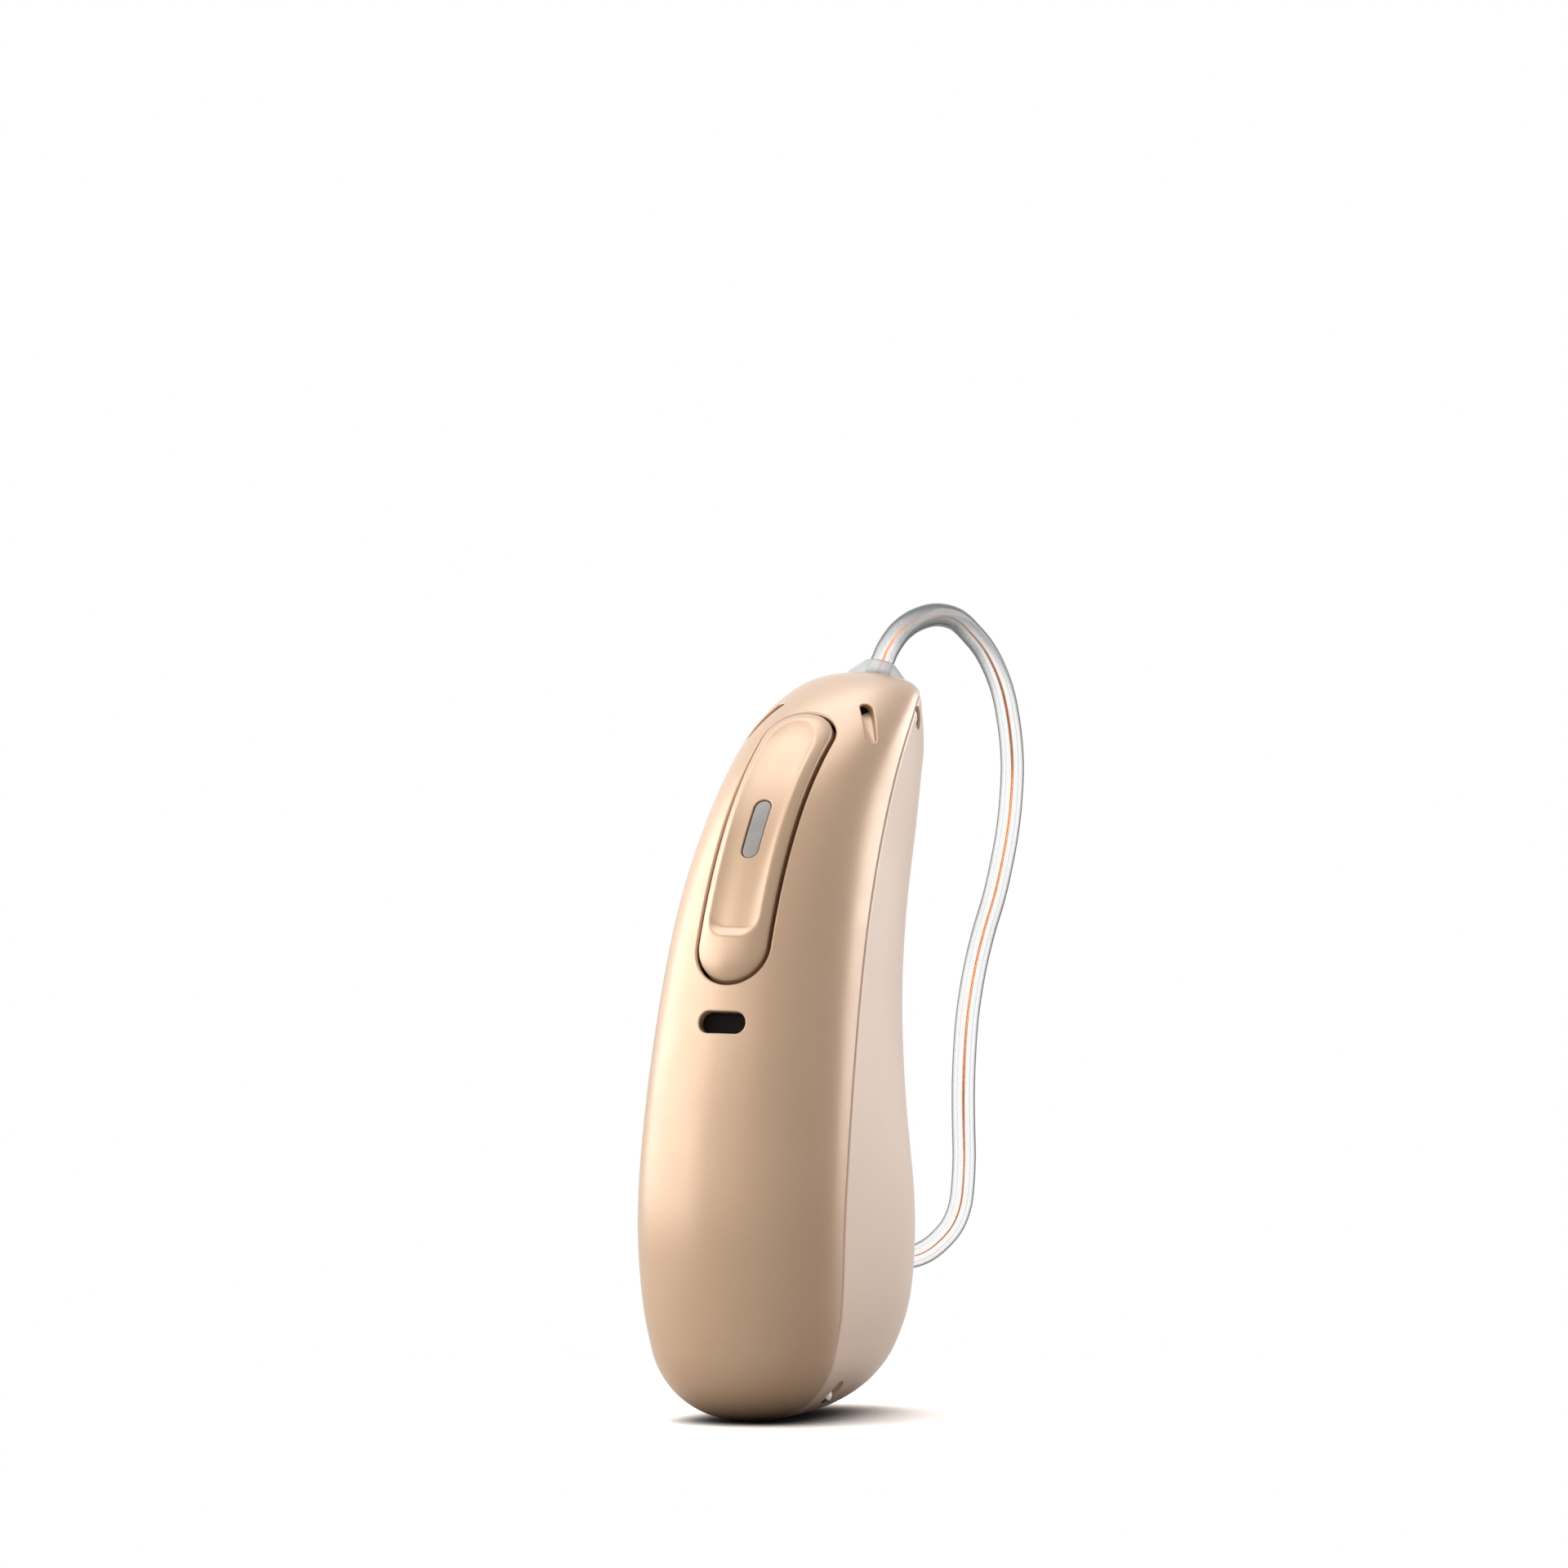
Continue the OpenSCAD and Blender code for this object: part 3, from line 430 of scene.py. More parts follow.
def carve(obj: bpy.types.Object, cutters: Sequence[Solid]) -> bpy.types.Object:
    """Cuts solids out of an object.

    Args:
        obj: The object, in millimetres.
        cutters: What is cut away, one after another.

    Returns:
        The object, with its new mesh.
    """
    for cutter in cutters:
        tool = cutter.mesh()
        cut = obj.modifiers.new("cut", "BOOLEAN")
        cut.operation = "DIFFERENCE"
        cut.solver = "EXACT"
        cut.object = tool
        graph = bpy.context.evaluated_depsgraph_get()
        data = bpy.data.meshes.new_from_object(obj.evaluated_get(graph))
        obj.modifiers.clear()
        obj.data = data
        bpy.data.objects.remove(tool)
    return obj


def finish_piece(
    obj: bpy.types.Object,
    body: Body,
    material: bpy.types.Material,
    nodes: Sequence[str] = (),
    sharp: float = 34.0,
) -> bpy.types.Object:
    """Scales a piece to metres, shades it and ties it to the frame.

    Args:
        obj: The piece, in millimetres.
        body: The body that it rides on.
        material: Its finish.
        nodes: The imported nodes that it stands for.
        sharp: The angle above which an edge stays sharp, in degrees.

    Returns:
        The piece.
    """
    obj.data.transform(Matrix.Scale(MM, 4))
    obj.data.shade_smooth()
    obj.data.set_sharp_from_angle(angle=math.radians(sharp))
    obj.data.materials.clear()
    obj.data.materials.append(material)
    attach(obj, body.value)
    if nodes:
        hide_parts(*nodes)
    log.info("piece %s: %d faces", obj.name, len(obj.data.polygons))
    return obj


def revolve(name: str, pose: Pose, profile: Sequence[Pair], count: int = 96) -> Solid:
    """Turns a closed profile about a frame's +Z.

    Args:
        name: The solid's name.
        pose: The frame.
        profile: Radius and height of each point.
        count: Points round the turn.

    Returns:
        The solid.
    """
    turns = np.linspace(0, 2 * math.pi, count, endpoint=False)
    outline = np.array(list(profile) + [profile[0]], float)
    rings = np.stack(
        [
            outline[:, None, 0] * np.cos(turns),
            outline[:, None, 0] * np.sin(turns),
            np.repeat(outline[:, 1:2], count, 1),
        ],
        -1,
    )
    return Solid(name).grid(pose.world(rings))


def plain_bore(
    name: str, pose: Pose, radius: float, low: float, high: float, count: int = 96
) -> Solid:
    """Makes a round cutter along a frame's +Z, from a low to a high end."""
    return revolve(name, pose, [(0, low), (radius, low), (radius, high), (0, high)], count)


def rounded(corners: Sequence[Triple], steps: int = 6) -> list[Pair]:
    """Rounds the corners of a closed outline.

    Args:
        corners: Each corner's x, y and radius.
        steps: Segments of each rounding.

    Returns:
        The outline's points.
    """
    made = []
    count = len(corners)
    for i, (x, y, radius) in enumerate(corners):
        here = np.array([x, y], float)
        if radius <= 0:
            made.append((x, y))
            continue
        before = unit(np.array(corners[i - 1][:2], float) - here)
        after = unit(np.array(corners[(i + 1) % count][:2], float) - here)
        half = math.acos(float(np.clip(before @ after, -1, 1))) / 2
        reach = radius / math.tan(half)
        middle = here + unit(before + after) * radius / math.sin(half)
        start, end = here + before * reach - middle, here + after * reach - middle
        sweep = math.acos(float(np.clip(unit(start) @ unit(end), -1, 1)))
        for k in range(steps + 1):
            f = k / steps
            mix = (math.sin((1 - f) * sweep) * start + math.sin(f * sweep) * end) / math.sin(sweep)
            made.append(tuple(middle + mix))
    return made


def oblong(
    length: float, width: float, inset: float = 0.0, straight: int = 40, ends: int = 24
) -> Points:
    """Points of an oblong with round ends, lying along Y.

    Args:
        length: Its length.
        width: Its width.
        inset: How far the outline is set in.
        straight: Segments of each straight side.
        ends: Segments of each round end.

    Returns:
        Rows of x and y, against the clock.
    """
    radius, half = width / 2 - inset, (length - width) / 2
    side = np.linspace(-half, half, straight, endpoint=False)
    arc = np.linspace(0, math.pi, ends, endpoint=False)
    return np.concatenate(
        [
            np.stack([np.full(straight, radius), side], -1),
            np.stack([radius * np.cos(arc), half + radius * np.sin(arc)], -1),
            np.stack([np.full(straight, -radius), -side], -1),
            np.stack([-radius * np.cos(arc), -half - radius * np.sin(arc)], -1),
        ]
    )


@dataclass(frozen=True)
class Opening:
    """An opening in the skin with a rounded lip.

    The outline lies in the frame's plane. The depth is that of the floor, which falls by
    floor_slope for each millimetre up the frame. The cutter stands over the skin by rise, and is
    wider there by flare.
    """

    name: str
    pose: Pose
    outline: Points
    start: Pair
    lip: float
    depth: float
    floor_slope: float = 0.0
    rise: float = 1.2
    flare: float = 0.25
    lip_degrees: tuple[float, ...] = (0, 20, 40, 60, 76)

    def cutter(self) -> Solid:
        """The solid that cuts the opening, flared where it meets the skin.

        Returns:
            The cutter.
        """
        t, turn = FORM.drop(self.pose, self.outline, self.start)
        p, n = FORM.skin(t, turn), FORM.normal(t, turn)
        ahead = np.roll(p, -1, 0) - np.roll(p, 1, 0)
        out = unit(np.cross(ahead, n))
        axis = self.pose.axes[:, 2]
        depth = self.depth + self.floor_slope * self.outline[:, 1:2]
        rings = [p - axis * depth, p - axis * self.lip]
        for turn_up in np.radians(self.lip_degrees):
            fall = n * self.lip * (1 - math.sin(turn_up))
            rings.append(p - fall + out * self.lip * (1 - math.cos(turn_up)))
        rings.append(p + n * self.rise + out * (self.lip + self.flare))
        return Solid(self.name).grid(np.array(rings), caps=True)


class Side(Enum):
    """The two shells, by the turn at which each starts."""

    SPINE = 0.0
    HEAD = math.pi


@dataclass
class Housing:
    """The two lacquered shells with their openings, the steel pins and the screens."""

    seam_gap: float = 0.05
    rim_round: float = 0.13
    # The most of a ring's reach that the seam's rim takes, near the two ends
    rim_share: float = 0.3
    button_gap: float = 0.22
    pin_hole_d: float = 1.0
    pin_d: float = 0.82
    receiver_pin_l: float = 5.3
    housing_pin_l: float = 5.5
    pin_edge: float = 0.07
    pin_dimple: float = 0.03
    # The pins' stations, and their depths from the seam in shares of the housing's depth
    receiver_pin_at: Pair = (10.47, 0.037)
    housing_pin_at: Pair = (0.47, 0.13)
    button_lip: float = 0.1
    button_depth: float = 2.6
    plug_gap: float = 0.04
    # How far the plug's seat is cut under and over the plug's place
    plug_seat: Pair = (-1.5, 1.2)
    # The inlets' lengths, widths and stations
    rear_inlet: Triple = (2.28, 1.06, 5.36)
    rear_lip: float = 0.07
    rear_depth: float = 1.6
    front_inlet: Triple = (2.5, 0.66, 9.28)
    front_lip: float = 0.06
    front_depth: float = 0.31
    front_floor_slope: float = 0.08
    # The ring angles of the right and the left front inlet, and how far each leans and turns
    front_inlet_angles: Pair = (48.0, 43.0)
    front_inlet_lean: float = 40.0
    front_inlet_turn: float = 19.5
    screen_t: float = 0.105
    # How far a screen's faces and its edge are set in, and the rear one's depth in walls
    screen_insets: Pair = (0.2, 0.03)
    rear_screen_walls: float = 0.75

    def rings(self, side: Side, rows: int = 170, columns: int = 110) -> Points:
        """Lays out one shell: its skin, its rounded rims and its inner face.

        Args:
            side: Which shell.
            rows: Rings along the middle of the housing.
            columns: Points across the outer skin.

        Returns:
            Rings by points by three.
        """
        turn_in = np.linspace(0, math.pi / 2, 26)
        last, low, tip = FORM.last, FORM.lower_turn, FORM.tip_turn
        t = np.concatenate(
            [
                low * (1 - np.cos(turn_in)),
                np.linspace(low, last - tip, rows + 2)[1:-1],
                last - tip * (1 - np.sin(turn_in)),
            ]
        )
        q = FORM.station(t)
        head = side is Side.HEAD
        reach = (q[:, 4] if head else q[:, 3]) * FORM.fullness(t, head)
        power = FORM.spine_power if side is Side.SPINE else FORM.head_power

        def turn_at(distance: float) -> Points:
            """The turns at which the skin is a distance from the seam's plane."""
            v = np.clip(distance / np.maximum(reach, TINY), 0, self.rim_share)
            return np.arctan2(v, (1 - v**power) ** (1 / power))

        half_gap, r = self.seam_gap / 2, self.rim_round
        rim = [(half_gap, g) for g in np.linspace(FORM.wall, r, 4)[:-1]]
        for a in np.linspace(0, math.pi / 2, 8):
            rim.append((half_gap + r * (1 - math.cos(a)), r * (1 - math.sin(a))))
        near = [(turn_at(s), g) for s, g in rim]
        edge = near[-1][0]
        wall_edge = near[0][0]
        columns_out = [(edge + (math.pi - 2 * edge) * u, 0.0) for u in np.linspace(0, 1, columns)]
        columns_in = [
            (wall_edge + (math.pi - 2 * wall_edge) * u, FORM.wall)
            for u in np.linspace(1, 0, columns // 2)
        ]
        ring = near[:-1] + columns_out
        ring += [(math.pi - turn, g) for turn, g in reversed(near[:-1])]
        ring += columns_in[1:-1]
        return np.stack([FORM.skin(t, side.value + turn, g) for turn, g in ring], 1)

    def pin_places(self) -> dict[str, Points]:
        """Finds where the two cross pins lie.

        Returns:
            The pins' middles, by their nodes' names.
        """
        return {
            "receiver_pin": FORM.inside(
                self.receiver_pin_at[0], self.receiver_pin_at[1] * FORM.depth
            ),
            "housing_pin": FORM.inside(self.housing_pin_at[0], self.housing_pin_at[1] * FORM.depth),
        }

    def cross_pose(self, place: Points) -> Pose:
        """A frame with +Z along X at a place."""
        return Pose(place, np.eye(3)).turned(1, 90)

    def pin_cutters(self) -> list[Solid]:
        """Shapes the cutters of the cross holes.

        Returns:
            The cutters.
        """
        r, far = self.pin_hole_d / 2, FORM.width / 2 + 1
        places = self.pin_places().values()
        return [plain_bore("hole", self.cross_pose(p), r, -far, far, 64) for p in places]

    def rear_slot(self) -> Opening:
        """Lays out the rear microphone's opening.

        Returns:
            The opening.
        """
        length, width, t = self.rear_inlet
        lean = float(FORM.station(t)[2])
        spine = math.pi / 2
        pose = Pose.facing_out(FORM.skin(t, spine), lean).moved(SPINE_SHIFT, 0, 0).turned(2, 90)
        outline = oblong(length, width, self.rear_lip)
        return Opening("rear_slot", pose, outline, (t, spine), self.rear_lip, self.rear_depth)

    def front_turn(self, side: int) -> float:
        """The turn of one front inlet, counted from the seam on its side."""
        return FORM.turn_of(self.front_inlet_angles[0 if side > 0 else 1])

    def front_pose(self, side: int) -> Pose:
        """Places the frame of one front inlet, with +Y up along it.

        Args:
            side: 1 for the right and -1 for the left.

        Returns:
            The frame.
        """
        t = self.front_inlet[2]
        p = FORM.skin(t, self.front_turn(side)) * np.array([side, 1, 1])
        pose = Pose.facing_out(p, float(FORM.station(t)[2]))
        return pose.turned(1, side * self.front_inlet_lean).turned(2, side * self.front_inlet_turn)

    def front_slot(self, side: int) -> Opening:
        """Lays out one of the front microphone's openings, deeper at its top than at its foot.

        Args:
            side: 1 for the right and -1 for the left.

        Returns:
            The opening.
        """
        length, width, t = self.front_inlet
        turn = self.front_turn(side)
        start = (t, turn if side > 0 else math.pi - turn)
        outline = oblong(length, width, self.front_lip, 24, 20)
        return Opening(
            "front_slot", self.front_pose(side), outline, start, self.front_lip,
            self.front_depth, self.front_floor_slope,
        )

    def button_slot(self, button: "Button") -> Opening:
        """Lays out the opening that the button sits in.

        Args:
            button: The button.

        Returns:
            The opening.
        """
        grow = self.button_gap - self.button_lip
        outline = oblong(button.length + 2 * grow, button.width + 2 * grow, 0, 90, 40)
        start = (button.middle, math.pi / 2)
        return Opening(
            "button_slot", button.pose(), outline, start, self.button_lip, self.button_depth
        )

    def plug_cutter(self, cable: "Cable") -> Solid:
        """Shapes the cutter of the plug's seat."""
        r = cable.plug_d / 2 + self.plug_gap
        return plain_bore("plug_seat", cable.plug_pose(), r, *self.plug_seat)

    def build(self, finishes: "Finishes", button: "Button", cable: "Cable") -> None:
        """Builds the shells, the pins and the screens.

        Args:
            finishes: The materials.
            button: The button, for its opening.
            cable: The cable, for its plug's seat.
        """
        holes = [*self.pin_cutters(), self.plug_cutter(cable)]
        fronts = [self.front_slot(side).cutter() for side in (1, -1)]
        cover = Solid("spine_cover_lacquered").grid(self.rings(Side.SPINE)).mesh()
        carve(cover, [self.button_slot(button).cutter(), self.rear_slot().cutter(), *fronts, *holes])
        finish_piece(cover, Body.HOUSING, finishes.cover, ["spine_cover"])
        inner = Solid("inner_shell_lacquered").grid(self.rings(Side.HEAD, 170, 130)).mesh()
        carve(inner, holes)
        finish_piece(inner, Body.HOUSING, finishes.side, ["inner_shell"])
        self.build_pins(finishes)
        self.build_screens(finishes)

    def build_pins(self, finishes: "Finishes") -> None:
        """Builds the two steel cross pins, with their turned ends.

        Args:
            finishes: The materials.
        """
        lengths = {"receiver_pin": self.receiver_pin_l, "housing_pin": self.housing_pin_l}
        r, edge, dimple = self.pin_d / 2, self.pin_edge, self.pin_dimple
        for name, place in self.pin_places().items():
            half = lengths[name] / 2
            profile = [
                (0, -half + dimple), (0.5 * r, -half + dimple), (0.6 * r, -half),
                (r - edge, -half), (r, -half + edge), (r, half - edge), (r - edge, half),
                (0.6 * r, half), (0.5 * r, half - dimple), (0, half - dimple),
            ]
            pin = revolve(f"{name}_turned", self.cross_pose(place), profile, 64).mesh()
            finish_piece(pin, Body.HOUSING, finishes.steel, [name], 25)

    def build_screens(self, finishes: "Finishes") -> None:
        """Builds the woven screens behind the microphone inlets.

        Args:
            finishes: The materials.
        """
        length, width, _ = self.rear_inlet
        slots = [
            ("rear", self.rear_slot().pose, length, width, self.rear_screen_walls * FORM.wall)
        ]
        length, width, _ = self.front_inlet
        for side, word in ((1, "right"), (-1, "left")):
            slots.append((f"front_{word}", self.front_pose(side), length, width, FORM.wall))
        for i, (word, pose, length, width, depth) in enumerate(slots):
            rings = []
            low, high = -depth - self.screen_t, -depth
            face, edge = self.screen_insets
            for inset, z in ((face, low), (edge, low), (edge, high), (face, high)):
                plan = oblong(length, width, inset, 16, 12)
                rings.append(np.column_stack([plan, np.full(len(plan), z)]))
            screen = Solid(f"{word}_inlet_screen").grid(pose.world(np.array(rings)), caps=True)
            nodes = ["inlet_screens"] if i == 0 else []
            finish_piece(screen.mesh(), Body.HOUSING, finishes.mesh, nodes)


@dataclass
class Button:
    """The rocker button with its finger scoop, its window and what is moulded under it."""

    length: float = 13.36
    width: float = 3.16
    thickness: float = 0.85
    # How far its edge stands over the skin, its station, its slide up from there and its lean
    proud: float = 0.04
    middle: float = 7.44
    slide: float = 0.14
    lean: float = 37.5
    edge_round: float = 0.13
    # The crown's height, and how flat it is
    crown: float = 0.32
    crown_power: float = 2.6
    # The scoop's depth and half width, the top of its arch, which is stretched, how flat its
    # dish is and how softly that runs out
    scoop_depth: float = 0.30
    scoop_half_w: float = 1.12
    scoop_top: float = 5.95
    scoop_arch: float = 1.5
    scoop_power: float = 1.7
    scoop_soft: float = 0.1
    # The scoop's foot, the rounding of its corners and the length of its rise
    scoop_foot: float = -5.0
    scoop_corner: float = 0.8
    scoop_wall: float = 0.55
    window: Pair = (2.8, 0.74)
    window_t: float = 0.2
    window_sink: float = 0.05
    window_edge: float = 0.06
    window_gap: float = 0.035
    window_lip: float = 0.045
    rocker_depth: float = 1.66
    pin_d: float = 0.6
    pin_gap: float = 0.03
    # The eyes' radius in shares of the pins' width, their distance from the middle plane
    eye_share: float = 0.7
    eye_x: float = 0.76
    eye_half_l: float = 0.25
    nub_stations: Pair = (6.25, 8.75)
    nub_r: float = 0.45
    nub_l: float = 0.5
    nub_round: float = 0.08
    # How far a nub starts under the button's lower face
    nub_sink: float = 0.25

    def pose(self) -> Pose:
        """The frame that the button is moulded in."""
        spine = FORM.skin(self.middle, math.pi / 2)
        return Pose.facing_out(spine, self.lean).moved(SPINE_SHIFT, self.slide, 0)

    def scoop(self, plan: Points) -> Points:
        """Depth of the finger scoop.

        Args:
            plan: Rows of x and y in the button's frame.

        Returns:
            The depth at each row.
        """
        x, y = np.abs(plan[:, 0]), plan[:, 1]
        w, corner = self.scoop_half_w, self.scoop_corner
        arch = np.maximum(y - (self.scoop_top - self.scoop_arch * w), 0) / self.scoop_arch
        dish = 1 - ((x**2 + arch**2) / w**2) ** self.scoop_power
        dish = (dish + np.sqrt(dish**2 + self.scoop_soft**2)) / 2
        turn_in = np.clip((x - (w - corner)) / corner, 0, 1)
        foot = self.scoop_foot + corner * (1 - np.sqrt(1 - turn_in**2))
        rise = np.clip((y - foot) / self.scoop_wall, 0, 1)
        return self.scoop_depth * dish * (rise * rise * (3 - 2 * rise))

    def lift(self, plan: Points) -> Points:
        """Height of the button's face over the skin, without its edge's rounding.

        Args:
            plan: Rows of x and y in the button's frame.

        Returns:
            The height at each row.
        """
        past = np.maximum(np.abs(plan[:, 1]) - (self.length - self.width) / 2, 0)
        out = np.clip(np.hypot(plan[:, 0], past) / (self.width / 2), 0, 1)
        return self.crown * (1 - out**self.crown_power) - self.scoop(plan)

    def surface(self, plan: Points) -> tuple[Points, Points]:
        """The button's face.

        Args:
            plan: Rows of x and y in the button's frame.

        Returns:
            The points, and the skin's normals under them.
        """
        t, turn = FORM.drop(self.pose(), plan, (self.middle, math.pi / 2), -self.proud)
        n = FORM.normal(t, turn, -self.proud)
        return FORM.skin(t, turn, -self.proud) + n * self.lift(plan)[:, None], n

    def stadium(
        self, name: str, size: Pair, sink: float, thickness: float, edge: float,
        segments: tuple[int, int, int],
    ) -> Solid:
        """A solid with an oblong outline whose face follows the button's.

        Args:
            name: Its name.
            size: Length and width.
            sink: How far it lies under the button's face.
            thickness: How thick it is.
            edge: Radius of its upper edge.
            segments: Segments of the straight sides, of the ends, and rings across its face.

        Returns:
            The solid.
        """
        length, width = size
        straight, ends, rings = segments
        axis = self.pose().axes[:, 2]

        def ring(inset: float, drop: float, below: float) -> Points:
            """Lays out one ring.

            Args:
                inset: How far it is set in from the outline.
                drop: How far it lies under the face.
                below: How far it lies under that, along the button's axis.

            Returns:
                Its points.
            """
            plan = oblong(length, width, min(inset, width / 2), straight, ends)
            p, n = self.surface(plan)
            return p - n * (sink + drop) - axis * below

        made = [ring(f * width / 2, edge, thickness) for f in np.linspace(1, 0, 6)]
        made += [ring(0, edge, f * thickness) for f in np.linspace(1, 0, 6)[1:-1]]
        for a in np.linspace(0, math.pi / 2, 7):
            made.append(ring(edge * (1 - math.cos(a)), edge * (1 - math.sin(a)), 0))
        made += [ring(f, 0, 0) for f in np.linspace(edge, width / 2, rings)[1:]]
        return Solid(name).grid(np.array(made))

    def window_cutter(self) -> Solid:
        """Shapes the cutter of the window's recess, with a fine lip.

        Returns:
            The cutter.
        """
        gap, lip, floor, rise, flare = self.window_gap, self.window_lip, 0.3, 0.6, 0.2
        length, width = self.window
        axis = self.pose().axes[:, 2]
        p, n = self.surface(oblong(length + 2 * gap, width + 2 * gap, 0, 30, 20))
        out = unit(np.cross(np.roll(p, -1, 0) - np.roll(p, 1, 0), n))
        rings = [p - axis * floor]
        for a in np.radians([0, 25, 50, 75]):
            rings.append(p - n * lip * (1 - math.sin(a)) + out * lip * (1 - math.cos(a)))
        rings.append(p + n * rise + out * flare)
        return Solid("window_recess").grid(np.array(rings), caps=True)

    def build(self, finishes: "Finishes") -> None:
        """Builds the button, its window, its eyes and its nubs.

        Args:
            finishes: The materials.
        """
        face = self.stadium(
            "rocker_button_lacquered", (self.length, self.width), 0,
            self.thickness - self.scoop_depth - self.edge_round, self.edge_round, (150, 60, 30),
        ).mesh()
        carve(face, [self.window_cutter()])
        finish_piece(face, Body.ROCKER, finishes.button, ["rocker_button"], 40)
        window = self.stadium(
            "indicator_window_lens", self.window, self.window_sink, self.window_t,
            self.window_edge, (30, 20, 8),
        ).mesh()
        finish_piece(window, Body.ROCKER, finishes.window, ["indicator_window"])
        self.build_underside(finishes)

    def build_underside(self, finishes: "Finishes") -> None:
        """Builds the two eyes that the button rocks in and the nubs over the switches.

        Args:
            finishes: The materials.
        """
        pivot = Pose.upright(FORM.inside(self.middle, self.rocker_depth - self.spine_depth()))
        r, bore = self.eye_share * self.pin_d, self.pin_d / 2 + self.pin_gap
        for side, word in ((1, "right"), (-1, "left")):
            pose = pivot.moved(side * self.eye_x, 0, 0).turned(1, 90)
            w = self.eye_half_l
            profile = [(bore, -w), (r, -w), (r, w), (bore, w)]
            eye = revolve(f"rocker_eye_{word}", pose, profile, 48).mesh()
            finish_piece(eye, Body.ROCKER, finishes.button)
        wide, long = self.nub_r, self.nub_l
        corners = [(0, 0, 0), (wide, 0, self.nub_round), (wide, long, 0), (0, long, 0)]
        profile = rounded(corners, 4)
        for t, word in zip(self.nub_stations, ("lower", "upper")):
            depth = float(FORM.station(t)[3])
            place = FORM.inside(t, self.thickness + self.nub_sink - depth)
            pose = Pose.facing_out(place, float(FORM.station(t)[2]))
            nub = revolve(f"rocker_nub_{word}", pose, profile, 40).mesh()
            finish_piece(nub, Body.ROCKER, finishes.button)

    def spine_depth(self) -> float:
        """Depth from the seam to the spine at the button's middle."""
        return float(FORM.station(self.middle)[3])


